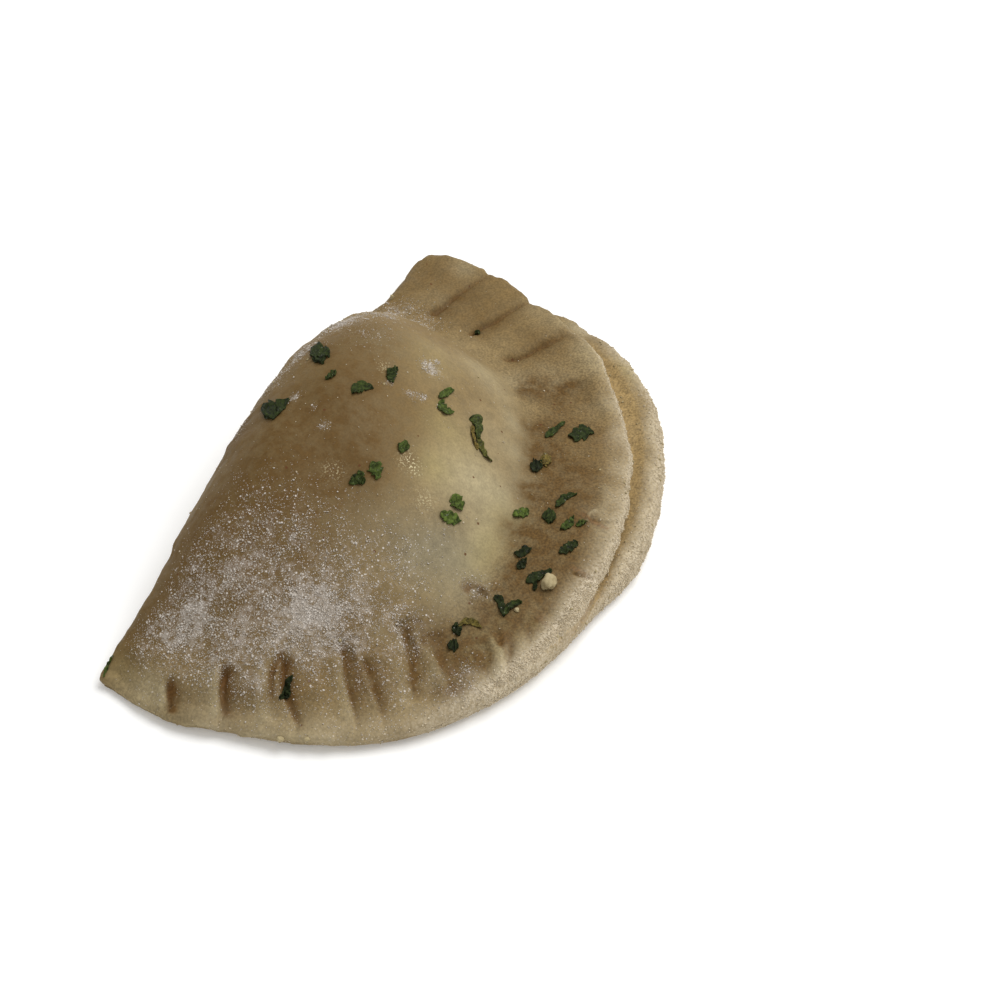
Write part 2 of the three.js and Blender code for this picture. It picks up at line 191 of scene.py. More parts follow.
def curve_through(points):
    """Smooth curve through a few (x, y) points"""
    x, y = np.array(points, float).T
    slopes = np.array([
        (y[min(i + 1, len(x) - 1)] - y[max(i - 1, 0)]) / (x[min(i + 1, len(x) - 1)] - x[max(i - 1, 0)])
        for i in range(len(x))
    ])

    def at(value):
        i = np.clip(np.searchsorted(x, value, side="right") - 1, 0, len(x) - 2)
        span = x[i + 1] - x[i]
        t = np.clip((value - x[i]) / span, 0, 1)
        return (
            y[i] * (2 * t**3 - 3 * t**2 + 1)
            + slopes[i] * span * (t**3 - 2 * t**2 + t)
            + y[i + 1] * (3 * t**2 - 2 * t**3)
            + slopes[i + 1] * span * (t**3 - t**2)
        )

    return at


def lumps(points, size, seed):
    """Smooth noise from 0 to 1 whose lumps are about size across"""
    grid = np.asarray(points, float) / size
    base = np.floor(grid).astype(np.int64)
    t = grid - base
    t = t * t * (3 - 2 * t)
    total = np.zeros(len(grid))
    for corner in itertools.product((0, 1), repeat=3):
        cell = base + corner
        key = (cell[:, 0] * 73856093) ^ (cell[:, 1] * 19349663) ^ (cell[:, 2] * 83492791) ^ (seed * 26544357)
        key = ((key ^ (key >> 13)) * 1274126177) & 0x7FFFFFFF
        value = ((key ^ (key >> 16)) & 0xFFFF) / 65535
        total += np.prod(np.where(corner, t, 1 - t), axis=1) * value
    return total


def swell(points, size, seed):
    """The same lumps from -0.5 to 0.5"""
    return lumps(points, size, seed) - 0.5


upper_leaf_at = curve_through(UPPER_LEAF)
lower_leaf_at = curve_through(LOWER_LEAF)
mound_foot_at = curve_through(MOUND_FOOT)
rim_thickness_at = curve_through(RIM_THICKNESS)
leaf_rounding_at = curve_through(LEAF_ROUNDING)


# ---------------------------------------------------------------------------------------------------
# Form of the dough
# ---------------------------------------------------------------------------------------------------
def plumpness(x):
    return np.clip(1 - np.abs(x / np.where(x < 0, PLUMP_FROM, PLUMP_TO)) ** PLUMP_POWER, 0, 1)


def fold_line(x):
    return FOLD_SWELL * plumpness(x) + LEFT_CORNER_FLARE * ease(-x, 35, 47)


def fold_waist(x):
    left, right, middle = FOLD_WAIST
    return lerp(np.where(x < 0, left, right), middle, plumpness(x))


def rim_share(x, y):
    return np.where(y >= 0, np.where(x < 0, 0.0, 1.0), 1 + np.arctan2(np.minimum(y, -1e-9), x) / np.pi)


def path_place(x, y, path):
    """Along and across a path, in millimetres, of many places: before its start along is negative"""
    path = np.array(path, float)
    nearest = np.full(np.shape(x), 1e9)
    along = np.zeros(np.shape(x))
    across = np.zeros(np.shape(x))
    walked = 0.0
    for i, (start, end) in enumerate(zip(path[:-1], path[1:])):
        step = end - start
        length = np.hypot(*step)
        step = step / length
        t = (x - start[0]) * step[0] + (y - start[1]) * step[1]
        side = (y - start[1]) * step[0] - (x - start[0]) * step[1]
        held = np.clip(t, 0, length)
        distance = np.hypot(t - held, side)
        nearer = distance < nearest
        nearest = np.where(nearer, distance, nearest)
        open_start, open_end = i == 0, i == len(path) - 2
        free = np.where((t < 0) & open_start | (t > length) & open_end, t, held)
        along = np.where(nearer, walked + free, along)
        across = np.where(nearer, np.where(free == t, side, np.sign(side) * distance), across)
        walked += length
    return along, across, walked


def crimp_profile(x, y, crimp, pinched):
    """Depth of one crimp, the painted shade in its hollow, and the painted shade deep in its crevice, at many
    places
    """
    path, depth, wall, gentle, slot = crimp
    along, across, length = path_place(x, y, path)
    across = across if pinched else -across
    share = np.clip(along / length, 0, 1)
    start = ease(along, -0.5 if pinched else -1.6, 0.6)
    stop = 1 - ease(along, length - 0.5, length + (1.8 if pinched else 4))
    rising = ease(1 + across / wall, 0, 1)
    falling = np.clip(1 - across / gentle, 0, 1) ** 2
    hollow = np.where(across < 0, rising, 0.35 + 0.65 * falling * (1 - 0.25 * share) if pinched else falling)
    hollow = np.where((across > 0) & pinched, (hollow - 0.35) / 0.65, hollow)
    width = 0.48 if pinched else 0.3
    crevice = bell(across / (width * (1 - 0.4 * share))) * (1 - 0.7 * share)
    depths = (depth * hollow * (1 - 0.5 * share) + slot * crevice) * start * stop
    shade = np.where(across < 0, rising**3, falling) * (1 - 0.5 * share) * start * stop
    if pinched:
        reach = np.where(across < 0, 0.4, lerp(1, 0.45, share))
        crevice = bell(across / reach) * (1 - 0.75 * share) * 2.4
    return depths, shade, crevice * start * stop * min(slot, 0.85)


# Deepest crimp, the painted shade on its sides, and the painted shade deep in its crevice, at many places
def crimps(x, y):
    deepest, shade, dark = (np.zeros(np.shape(x)) for _ in range(3))
    for pinched, group in ((True, PINCHED), (False, PRESSED)):
        for crimp in group:
            depth, shaded, crevice = crimp_profile(x, y, crimp, pinched)
            deepest = np.maximum(deepest, depth)
            shade = np.maximum(shade, shaded)
            dark = np.maximum(dark, crevice)
    return deepest, shade, dark


def dents(x, y):
    """Depth of the thumb dents, and how deep within one each place is"""
    depth, inside = np.zeros(np.shape(x)), np.zeros(np.shape(x))
    for cx, cy, along, across, down in DENTS:
        outward = np.array([cx, cy]) / np.hypot(cx, cy)
        u = ((x - cx) * outward[1] - (y - cy) * outward[0]) / along
        v = ((x - cx) * outward[0] + (y - cy) * outward[1]) / across
        bowl = np.exp(-((u**2 + v**2) ** 1.3))
        depth = np.maximum(depth, down * bowl)
        inside = np.maximum(inside, bowl)
    return depth, inside


def cracks(x, y):
    depth = np.zeros(np.shape(x))
    for path, down, width in CRACKS:
        along, across, length = path_place(x, y, path)
        ends = ease(along, -0.4, 0.4) * (1 - ease(along, length - 0.3, length + 0.6))
        flap = bell((across + 0.7) / 0.6) * ease(along, -0.5, 0.3) * (1 - ease(along, 0.5, 2.5))
        depth += (down * bell(across / width) - 0.6 * down * flap) * ends
    return depth


def pressed_band(out, share):
    """1 in the middle of the band that fingers pressed down between the mound and the lip"""
    foot, edge = mound_foot_at(share), upper_leaf_at(share)
    started = ease(share, PRESSED_FROM, PRESSED_FROM + 0.08)
    reach = started * (1 - ease(share, PRESSED_TO - 0.1, PRESSED_TO + 0.05))
    return reach * ease(out, foot - 1.5, foot + 2) * (1 - ease(out, edge - 5.5, edge - 2.2))


def top_height(x, y):
    """Height of the top: the rim's upper leaf, the mound, and the roll over the fold"""
    out, share = np.hypot(x, y), rim_share(x, y)
    foot, edge = mound_foot_at(share), upper_leaf_at(share)
    inwards = ease((edge - out) / np.maximum(edge - foot, 1), 0, 1)
    rim = lerp(rim_thickness_at(share), RIM_THICKNESS_BY_MOUND, inwards)
    above = 1 - (out / foot) ** MOUND_FULLNESS
    mound = ((above + np.sqrt(above**2 + MOUND_FOOT_SOFTNESS)) / 2) ** MOUND_EASE
    wave = 0.3 * np.sin(0.16 * x + 1.1) * np.cos(0.14 * y + 0.3)
    ripple = 0.12 * np.sin(0.37 * x - 0.31 * y)
    depth = crimps(x, y)[0] + dents(x, y)[0] + cracks(x, y)
    opened = rim + MOUND_RISE * mound + (wave + ripple) * (0.3 + mound) - depth
    crest = bell((edge - out - 2.4) / 1.5) * ease(share, 0.34, 0.48) * (1 - ease(share, 0.68, 0.8))
    opened = opened - PRESSED_DEPTH * pressed_band(out, share) + LIP_CREST * crest
    inside = np.clip((fold_line(x) - y) / lerp(*SHOULDER_WIDTH, plumpness(x)), 0, 1)
    roll = np.sqrt(1 - (1 - inside) ** 2)
    return lerp(fold_waist(x), np.maximum(opened, fold_waist(x) + 0.3), roll)


def ragged(place, seed):
    """How far a leaf's torn edge strays outwards at places of the plan, in millimetres"""
    flat = np.concatenate([place, np.zeros((len(place), 1))], 1)
    share = rim_share(place[:, 0], place[:, 1])
    stray = 0.8 * swell(flat, 3.1, seed) + 1.3 * swell(flat, 0.9, seed + 1)
    return EDGE_RAGGED * stray * (0.45 + 0.55 * ease(share, 0.3, 0.45)) * ease(-place[:, 1], 0, 2)


def outline(turns):
    """Reach from the hub to the outline, how much of it is rim, and direction, for each turn"""
    direction = np.stack([np.cos(turns), np.sin(turns)], -1)
    inwards = -direction @ HUB
    radius = np.full(len(turns), OUTLINE_START)
    for _ in range(OUTLINE_ROUNDS):
        to_rim = inwards + np.sqrt(inwards**2 + radius**2 - HUB @ HUB)
        place = HUB + direction * to_rim[:, None]
        radius = upper_leaf_at(rim_share(place[:, 0], place[:, 1]))
    rise = np.maximum(direction[:, 1], LEAST_RISE)
    to_fold = (fold_line(HUB[0] - direction[:, 0] * HUB[1] / rise) - HUB[1]) / rise
    to_fold = np.where(direction[:, 1] < LEAST_RISE, NO_FOLD, to_fold)
    power = np.where(direction[:, 0] < 0, LEFT_CORNER_POWER, RIGHT_CORNER_POWER)
    for x, y, depth, width in NOTCHES:
        apart = np.hypot(*(HUB + direction * to_rim[:, None] - [x, y]).T)
        to_rim = to_rim - depth * bell(apart / width)
    to_rim = to_rim + ragged(place, UPPER_EDGE_SEED)
    reach = to_rim * (1 + (to_rim / to_fold) ** power) ** (-1 / power)
    rimness = ease(np.log(to_fold / to_rim), -0.05, 0.05)
    return reach, rimness, direction


def column_turns():
    """Turns of the columns about the hub, closer along the rim than along the fold"""
    turns = np.linspace(0, 2 * np.pi, OUTLINE_TURNS)
    reach, rimness, direction = outline(turns)
    place = direction * reach[:, None]
    close = np.zeros(len(turns))
    for path in [crimp[0] for crimp in PINCHED + PRESSED] + [crack[0] for crack in CRACKS]:
        middle = np.array(path).mean(0) - HUB
        apart = np.abs((turns - np.arctan2(middle[1], middle[0]) + np.pi) % (2 * np.pi) - np.pi)
        close = np.maximum(close, bell(np.degrees(apart) / 2.2))
    steps = np.hypot(*np.diff(place, axis=0).T) * lerp(FOLD_COLUMNS_SHARE, 1, rimness[1:])
    steps = steps * (1 + CRIMP_COLUMNS_GAIN * close[1:])
    walk = np.concatenate([[0], np.cumsum(steps)])
    return np.interp(np.arange(COLUMNS) / COLUMNS * walk[-1], walk, turns)


def leaf_edges(share, top, lip):
    """Rim's edge from the top down, as outward offsets and heights: upper leaf, seam, lower leaf"""
    seam = SEAM_HEIGHT_SHARE * top
    openness = ease(share, *FANNED_FROM)
    depth = np.maximum(lerp(*SEAM_DEPTH, openness), LOWER_LIP_ROUNDING + 0.3 - lip)
    dip = SEAM_DIP * openness
    rounding = leaf_rounding_at(share)
    lower_rounding = np.minimum(LOWER_LIP_ROUNDING + 0.9 * openness, lip + depth - 0.3)

    def nose(overhang, reach, low, high, turn):
        turn = np.radians(turn)
        return overhang - reach * (1 - np.cos(turn)), (low + high) / 2 + (high - low) / 2 * np.sin(turn)

    upper = [nose(0, rounding, seam, top, turn) for turn in np.linspace(80, -60, NOSE_ROWS)]
    inner = (-depth, seam - dip)
    floor = (np.maximum(lip - LOWER_LIP_WIDTH - 1.2, 0.3 - depth), seam - dip - 0.1)
    lower = [nose(lip, lower_rounding, 0, seam, turn) for turn in np.linspace(110, -90, NOSE_ROWS + 3)]
    stations = [upper[-1], inner, floor, lower[0]]
    seam_rows = []
    for step in range(1, SEAM_ROWS + 1):
        walk = step / (SEAM_ROWS + 1) * (len(stations) - 1)
        i = min(int(walk), len(stations) - 2)
        t = walk - i
        t = t * t * (3 - 2 * t) if i == 2 else t
        seam_rows.append(tuple(lerp(stations[i][k], stations[i + 1][k], t) for k in (0, 1)))
    rows = upper + seam_rows + lower
    kept = np.maximum(lip, 0)
    first = lerp(40, 80, ease(share, 0.01, 0.1))
    turns = [first - (first + 90) * step for step in np.linspace(0, 1, len(rows))]
    sealed = [nose(kept, rounding + 0.2 + kept, 0, top, turn) for turn in turns]
    faint = 0.25 * bell((np.linspace(80, -90, len(rows)) + 8) / 14)
    for i, (whole, groove) in enumerate(zip(sealed, faint)):
        rows[i] = tuple(lerp(whole[k] - (groove if k == 0 else 0), rows[i][k], openness) for k in (0, 1))
    offsets = np.stack([np.broadcast_to(row[0], share.shape) for row in rows], 1)
    heights = np.stack([np.broadcast_to(row[1], share.shape) for row in rows], 1)
    return offsets, heights


def dough_grid():
    """Places of the dough's surface in millimetres, one row of points a column, from hub to hub"""
    turns = column_turns()
    reach, rimness, direction = outline(turns)
    edge = HUB + direction * reach[:, None]
    share = rim_share(edge[:, 0], edge[:, 1])

    s = np.linspace(0, 1, TOP_ROWS + 1)[None, :]
    top_reach = (reach - leaf_rounding_at(share) * rimness)[:, None]
    roundness = ((1 - rimness) * plumpness(edge[:, 0]))[:, None]
    distance = top_reach * lerp(s**0.72, np.sin(s * np.pi / 2), roundness)
    x = HUB[0] + direction[:, :1] * distance
    y = HUB[1] + direction[:, 1:] * distance
    z = top_height(x, y)

    lip = lower_leaf_at(share) - upper_leaf_at(share)
    lip = (lip + ragged(edge, LOWER_EDGE_SEED) - ragged(edge, UPPER_EDGE_SEED)) * rimness
    offsets, heights = leaf_edges(share, z[:, -1], lip)
    turn = np.pi / 2 * (np.arange(offsets.shape[1]) + 1) / offsets.shape[1]
    undercut = lerp(*FOLD_UNDERCUT, plumpness(edge[:, 0]))
    fold_offsets = -undercut[:, None] * (1 - np.cos(turn))
    fold_heights = fold_waist(edge[:, 0])[:, None] * (1 - np.sin(turn))
    side = reach[:, None] + lerp(fold_offsets, offsets, rimness[:, None])
    side_z = lerp(fold_heights, heights, rimness[:, None])

    under = side[:, -1:] * np.linspace(1, 0, UNDER_ROWS + 1)[None, 1:]
    far = np.concatenate([side, under], 1)
    x = np.concatenate([x, HUB[0] + direction[:, :1] * far], 1)
    y = np.concatenate([y, HUB[1] + direction[:, 1:] * far], 1)
    z = np.concatenate([z, side_z, np.zeros_like(under)], 1)
    return np.stack([x, y, z], -1)


# ---------------------------------------------------------------------------------------------------
# The camera and what it sees
# ---------------------------------------------------------------------------------------------------
def camera_axes():
    azimuth, elevation, roll = np.radians([VIEW_AZIMUTH, VIEW_ELEVATION, VIEW_ROLL])
    back = np.array([
        np.sin(azimuth) * np.cos(elevation), -np.cos(azimuth) * np.cos(elevation), np.sin(elevation)
    ])
    level = np.array([np.cos(azimuth), np.sin(azimuth), 0])
    rise = np.cross(back, level)
    right = level * np.cos(roll) + rise * np.sin(roll)
    up = rise * np.cos(roll) - level * np.sin(roll)
    stand = -(VIEW_ASIDE[0] * right + VIEW_ASIDE[1] * up) + back * VIEW_DISTANCE
    return stand + [*FOLD_MIDDLE, 0], right, up, back


def seen_at(pixel, surface):
    """Place and outward direction, in millimetres, of the surface that the camera sees at a pixel.
    A pixel just beside the outline stands for the nearest place inwards."""
    stand, right, up, back = camera_axes()
    for inwards in np.linspace(0, 0.06, 13):
        column, row = lerp(np.array(pixel, float), np.array(PICTURE_MIDDLE, float), inwards)
        ray = right * (column - PICTURE / 2) / FOCAL_PIXELS - up * (row - PICTURE / 2) / FOCAL_PIXELS - back
        place, normal, _, _ = surface.ray_cast(Vector(stand * MM), Vector(ray))
        if place is not None:
            return np.array(place) / MM, np.array(normal)
    raise RuntimeError(f"nothing is seen at pixel {tuple(pixel)}")


# ---------------------------------------------------------------------------------------------------
# Where flour and colours lie on the dough: column and row of the render, radius in millimetres, strength
# ---------------------------------------------------------------------------------------------------
FLOUR_SPOTS = [
    (301, 612, 3.2, 1.0), (320, 622, 2.2, 0.93), (297, 605, 1.8, 0.98), (306, 616, 1.4, 1.0),
    (172, 636, 4, 0.5), (198, 598, 3.2, 0.65), (188, 622, 3, 0.5), (150, 642, 2.4, 0.35),
    (240, 608, 5, 0.25), (235, 560, 6, 0.2), (340, 604, 5, 0.45), (348, 640, 3.6, 0.42),
    (250, 640, 5, 0.38), (300, 655, 4, 0.38), (205, 572, 4.4, 0.27), (290, 570, 7, 0.24),
    (400, 600, 5, 0.2), (350, 560, 7, 0.2), (235, 525, 5, 0.1), (280, 520, 7, 0.13), (400, 640, 4, 0.35),
    (446, 684, 2.4, 0.3), (400, 690, 4, 0.16), (350, 685, 4, 0.2), (210, 655, 4, 0.35),
    (466, 676, 2.6, 0.27), (420, 545, 5, 0.12), (260, 690, 4, 0.3), (310, 720, 4, 0.14),
    (150, 690, 4, 0.12), (380, 720, 5, 0.1), (475, 588, 2, 0.45), (340, 325, 3.4, 0.28), (378, 314, 3, 0.3),
    (310, 345, 3, 0.25), (280, 375, 3, 0.22), (405, 312, 3, 0.2), (355, 318, 1.2, 0.4),
    (294, 397, 0.8, 0.7), (314, 406, 0.6, 0.55), (323, 425, 0.8, 0.7), (430, 368, 1.6, 0.6),
    (431, 369, 0.8, 0.97), (437, 362, 0.5, 0.9), (414, 395, 0.8, 0.6), (422, 397, 0.6, 0.94),
    (408, 393, 0.5, 0.95), (389, 383, 0.5, 0.93), (345, 322, 2.4, 0.45), (390, 314, 2.6, 0.45),
    (430, 324, 2.4, 0.35), (300, 354, 2, 0.4), (268, 388, 2, 0.35), (240, 425, 2, 0.3),
    (440, 407, 0.6, 0.4), (238, 475, 0.8, 0.4), (260, 500, 3, 0.12), (375, 334, 3, 0.2),
]
FROST_SPOTS = [
    (658, 480, 4, 0.78), (655, 430, 4, 0.75), (650, 520, 4, 0.8), (634, 560, 4, 0.85), (608, 594, 4, 0.35),
    (616, 500, 2.8, 0.26), (618, 445, 3, 0.22), (606, 540, 3.4, 0.24), (592, 575, 3.6, 0.24),
    (576, 605, 4, 0.45), (562, 645, 4.6, 0.66), (534, 668, 4.6, 0.7), (504, 690, 4.6, 0.7),
    (640, 385, 3.2, 0.25), (474, 714, 3.8, 0.55), (590, 480, 3, 0.15), (534, 640, 3.4, 0.4),
    (632, 575, 4, 0.8), (610, 350, 3, 0.4), (515, 672, 3, 0.35), (430, 732, 3.2, 0.6), (380, 742, 3, 0.45),
    (590, 512, 1.6, 0.6), (622, 470, 2.4, 0.5), (619, 525, 2.4, 0.6), (330, 744, 3.4, 0.45),
    (560, 585, 3, 0.25), (260, 740, 3, 0.3), (560, 620, 3, 0.35), (500, 655, 1.4, 0.3),
    (214, 726, 2.4, 0.4), (637, 505, 1.5, 0.3), (580, 333, 2, 0.3), (621, 435, 2.2, 0.5),
    (614, 403, 2, 0.3), (622, 498, 2.2, 0.35), (611, 556, 2.2, 0.45),
]
# Brown where the dough is bare or thin, and painted shade: on the mound's side away from the light, in the
# crimps' and dents' hollows, and under the leaves
BROWN_AND_PAINTED_SHADE_SPOTS = [
    (300, 450, 9, 0.97), (325, 400, 8, 0.95), (350, 435, 6, 0.7), (240, 430, 8, 0.85), (260, 480, 8, 0.85),
    (220, 540, 8, 0.8), (300, 500, 7, 0.65), (360, 375, 6, 0.5), (335, 345, 6, 0.7), (365, 332, 5, 0.4),
    (345, 475, 5, 0.45), (385, 340, 6, 0.4), (180, 590, 6, 0.8), (250, 590, 8, 0.6), (310, 580, 7, 0.45),
    (270, 545, 7, 0.5), (340, 640, 5, 0.6), (220, 640, 6, 0.45), (400, 430, 6, 0.3), (380, 500, 6, 0.2),
    (430, 275, 6, 0.55), (440, 315, 4, 0.5), (485, 325, 4, 0.45), (545, 345, 4, 0.45), (500, 300, 5, 0.2),
    (535, 385, 3.4, 0.7), (565, 392, 4, 0.4), (532, 430, 2.6, 0.8), (542, 455, 3.4, 0.8),
    (530, 490, 3, 0.8), (562, 470, 5, 0.7), (572, 510, 5, 0.75), (517, 530, 2.6, 0.8), (545, 540, 5, 0.72),
    (522, 570, 3.4, 0.75), (510, 600, 4.4, 0.8), (545, 600, 3.6, 0.6), (504, 630, 3.6, 0.66),
    (530, 620, 3, 0.6), (200, 530, 5, 0.6), (472, 655, 4, 0.65), (480, 612, 3.4, 0.6), (600, 440, 4, 0.45),
    (590, 475, 4, 0.5), (590, 400, 4, 0.35), (135, 628, 4, 0.45), (403, 662, 3, 0.4), (255, 680, 4, 0.4),
    (436, 650, 4, 0.55), (290, 690, 4, 0.45), (365, 680, 4, 0.35), (600, 340, 3, 0.3), (570, 430, 4, 0.5),
    (225, 500, 7, 0.5), (150, 615, 5, 0.5), (290, 480, 6, 0.5), (130, 645, 3, 0.35), (452, 647, 3.4, 0.65),
    (470, 662, 3.6, 0.4), (487, 622, 2.6, 0.42), (568, 495, 3, 0.45), (560, 562, 3.6, 0.5),
    (470, 298, 2.6, 0.45), (358, 468, 3.2, 0.5), (412, 459, 1.5, 0.5), (183, 700, 2.6, 0.5),
    (234, 695, 3.2, 0.55), (592, 498, 2.6, 0.4), (235, 520, 6, 0.4), (568, 558, 4.4, 0.45),
    (546, 582, 3.6, 0.5), (585, 533, 2.6, 0.35), (522, 652, 3, 0.6), (546, 630, 3.2, 0.35),
    (468, 688, 3.4, 0.5), (195, 560, 6, 0.4), (350, 385, 4, 0.3), (140, 640, 3.6, 0.55),
    (572, 567, 3.2, 0.35), (396, 303, 3, 0.3), (450, 398, 3.4, 0.16), (420, 622, 3, 0.35),
    (450, 625, 2.6, 0.4), (370, 602, 4, 0.3), (531, 388, 1.8, 0.5), (531, 429, 1.6, 0.5),
    (533, 448, 1.8, 0.5), (531, 468, 1.6, 0.5), (528, 489, 1.6, 0.45), (531, 506, 1.8, 0.45),
    (512, 529, 1.6, 0.5), (517, 547, 1.8, 0.4), (510, 571, 2, 0.5), (500, 591, 2, 0.5),
    (492, 610, 2.2, 0.5), (345, 644, 1.6, 0.5), (365, 658, 1.6, 0.5), (404, 632, 1.8, 0.6),
    (425, 634, 1.8, 0.6), (364, 686, 2.6, 0.35), (382, 690, 2.4, 0.3), (412, 684, 1.8, 0.4),
    (460, 705, 3, 0.35),
]
# Pale where the dough is thick and dry, and painted light on the mound's side that faces the light and on
# ridges of the rim
PALE_AND_PAINTED_LIGHT_SPOTS = [
    (475, 480, 6, 0.72), (500, 440, 5, 0.35), (455, 430, 4, 0.12), (440, 385, 6, 0.04), (500, 510, 4, 0.5),
    (480, 545, 4, 0.5), (430, 360, 6, 0.1), (500, 395, 5, 0.3), (460, 345, 5, 0.1), (450, 600, 5, 0.3),
    (516, 425, 2.4, 0.5), (519, 455, 2.4, 0.5), (506, 500, 3, 0.5), (494, 535, 3, 0.4), (480, 370, 4, 0.3),
    (350, 722, 4, 0.05), (400, 700, 4, 0.1), (200, 715, 4, 0.2), (640, 380, 4, 0.06), (495, 375, 4, 0.2),
    (440, 470, 5, 0.3), (620, 365, 3, 0.15), (350, 740, 3, 0.15), (560, 620, 2, 0.3), (485, 585, 3, 0.25),
    (395, 500, 5, 0.15), (360, 580, 5, 0.1), (250, 730, 4, 0.35), (300, 736, 4, 0.35), (150, 702, 4, 0.45),
    (122, 688, 3, 0.25), (190, 716, 3, 0.25), (152, 682, 2.8, 0.3), (213, 686, 2.6, 0.3),
    (275, 664, 2.2, 0.3), (357, 690, 3.6, 0.15), (414, 642, 2.4, 0.6), (437, 678, 3, 0.35),
    (489, 651, 2.2, 0.6), (378, 632, 1.4, 0.3), (521, 384, 2.4, 0.6), (522, 485, 2.5, 0.6),
    (466, 408, 3.4, 0.05), (574, 330, 2.6, 0.5), (463, 268, 2.4, 0.4), (378, 338, 3.6, 0.3),
    (528, 533, 2, 0.3), (420, 345, 4, 0.08), (455, 360, 4, 0.1), (545, 372, 2.2, 0.15),
    (564, 648, 3.4, 0.5), (536, 670, 3.6, 0.55), (506, 692, 3.6, 0.5), (476, 712, 3.4, 0.4),
    (582, 612, 3, 0.3), (596, 366, 3.6, 0.32), (606, 402, 2.8, 0.25), (560, 322, 2.8, 0.25),
    (536, 308, 2.6, 0.2), (586, 346, 3, 0.3), (470, 582, 4, 0.3), (318, 530, 4, 0.15), (601, 530, 2.6, 0.3),
    (560, 383, 2.6, 0.25), (440, 301, 3, 0.2),
]
VEIL_SPOTS = [
    (455, 600, 5, 0.25), (456, 540, 5, 0.3), (438, 545, 3.4, 0.8), (455, 560, 3, 0.5), (416, 556, 3.4, 0.7),
    (400, 530, 4, 0.3), (365, 530, 4, 0.2),
]
YELLOW_SPOTS = [
    (432, 465, 3, 0.6), (455, 440, 4, 0.25), (490, 545, 3, 0.5), (505, 520, 3, 0.4), (440, 425, 3, 0.3),
    (478, 562, 3, 0.4), (628, 372, 3, 0.35), (430, 355, 5, 0.2), (125, 660, 3, 0.3), (500, 638, 5, 0.35),
    (470, 655, 4, 0.3), (530, 625, 4, 0.3), (545, 540, 5, 0.1),
]
# Where fat makes the dough moist: smoother there, with painted glints
MOIST_AND_GLINT_SPOTS = [
    (409, 461, 1.3, 0.95), (416, 470, 0.9, 0.7), (425, 500, 1.6, 0.5), (333, 470, 1.3, 0.5),
    (384, 366, 1, 0.6),
]


# Small folds of the rim: path in pixels, height (below 0 a crease), width in millimetres, and the painted
# shading, above 0 brown painted shade and below 0 pale painted light
WRINKLES = [
    ([(498, 634), (499, 643)], -0.35, 0.5, 0.4),
    ([(491, 641), (498, 652), (501, 664), (500, 677)], 0.35, 0.7, -0.6),
    ([(508, 645), (503, 656)], 0.25, 0.5, -0.4), ([(511, 646), (509, 660), (509, 680)], -0.3, 0.5, 0.35),
    ([(485, 648), (488, 664), (491, 682)], -0.25, 0.7, 0.25),
    ([(587, 521), (589, 515), (594, 512)], 0.4, 0.35, -0.9),
    ([(592, 519), (600, 522), (610, 523), (620, 523)], -0.22, 0.28, 0.15),
    ([(575, 573), (583, 576), (593, 579)], -0.35, 0.3, 0.35),
    ([(604, 488), (606, 500), (600, 512)], 0.25, 0.8, -0.4),
    ([(536, 622), (531, 636), (530, 650)], -0.2, 0.9, 0.2),
    ([(548, 612), (556, 622), (560, 634)], -0.2, 0.7, 0.15),
    ([(518, 636), (522, 650), (524, 664)], 0.2, 0.9, -0.3),
    ([(365, 640), (352, 639), (340, 642)], -0.3, 0.35, 0.5),
    ([(420, 621), (408, 621), (398, 626)], -0.3, 0.35, 0.5),
    ([(216, 672), (214, 690), (215, 712)], 0.25, 0.8, -0.5), ([(163, 690), (162, 702)], 0.2, 0.7, -0.4),
    ([(338, 660), (342, 690), (348, 715)], 0.25, 0.9, -0.4),
    ([(262, 672), (260, 696), (264, 716)], 0.2, 0.9, -0.4),
    ([(358, 660), (356, 646), (362, 640)], 0.25, 0.5, -0.4), ([(415, 636), (420, 650)], 0.3, 0.5, -0.4),
    ([(428, 656), (436, 672), (444, 690)], 0.25, 0.8, -0.3),
    ([(396, 664), (402, 686), (404, 704)], 0.25, 0.8, -0.3),
    ([(240, 738), (262, 734), (300, 738), (330, 739)], 0.2, 0.5, -0.3),
    ([(186, 724), (205, 724), (216, 728)], 0.2, 0.5, -0.3),
    ([(544, 345), (556, 338), (566, 330)], -0.2, 0.8, 0.3),
    ([(545, 396), (560, 390), (574, 382)], -0.2, 0.8, 0.3), ([(576, 436), (600, 430)], -0.15, 1, 0.15),
    ([(560, 470), (590, 468)], -0.15, 1, 0.15), ([(470, 600), (478, 592), (486, 596)], -0.3, 0.3, 0.35),
    ([(466, 594), (474, 586), (486, 588)], 0.3, 0.4, -0.5), ([(168, 545), (176, 542)], 0.35, 0.9, 0),
    ([(163, 557), (172, 554)], -0.4, 0.8, 0.1),
]


def from_path(points, path):
    """Distance of each point from a path in space"""
    nearest = np.full(len(points), 1e9)
    for start, end in zip(path[:-1], path[1:]):
        step = end - start
        t = np.clip((points - start) @ step / (step @ step), 0, 1)
        nearest = np.minimum(nearest, np.linalg.norm(points - start - t[:, None] * step, axis=1))
    return nearest


def wrinkles(points, surface):
    """Height of the small folds at each point, and their painted shading: brown shade in the hollows, pale
    painted light on the ridges
    """
    height, painted_shading = np.zeros(len(points)), np.zeros(len(points))
    for path, tall, width, tint in WRINKLES:
        places = np.array([seen_at(pixel, surface)[0] for pixel in path])
        near = bell(from_path(points, places) / width)
        height += tall * near
        painted_shading += tint * near
    return height, np.clip(painted_shading, -1, 1)


def spread(points, spots, surface):
    """Strength of a finish at each point, from the spots around which it lies"""
    left = np.ones(len(points))
    for column, row, radius, strength in spots:
        middle, _ = seen_at((column, row), surface)
        near = np.exp(-np.sum((points - middle) ** 2, 1) / radius**2)
        left *= 1 - strength * near
    return 1 - left


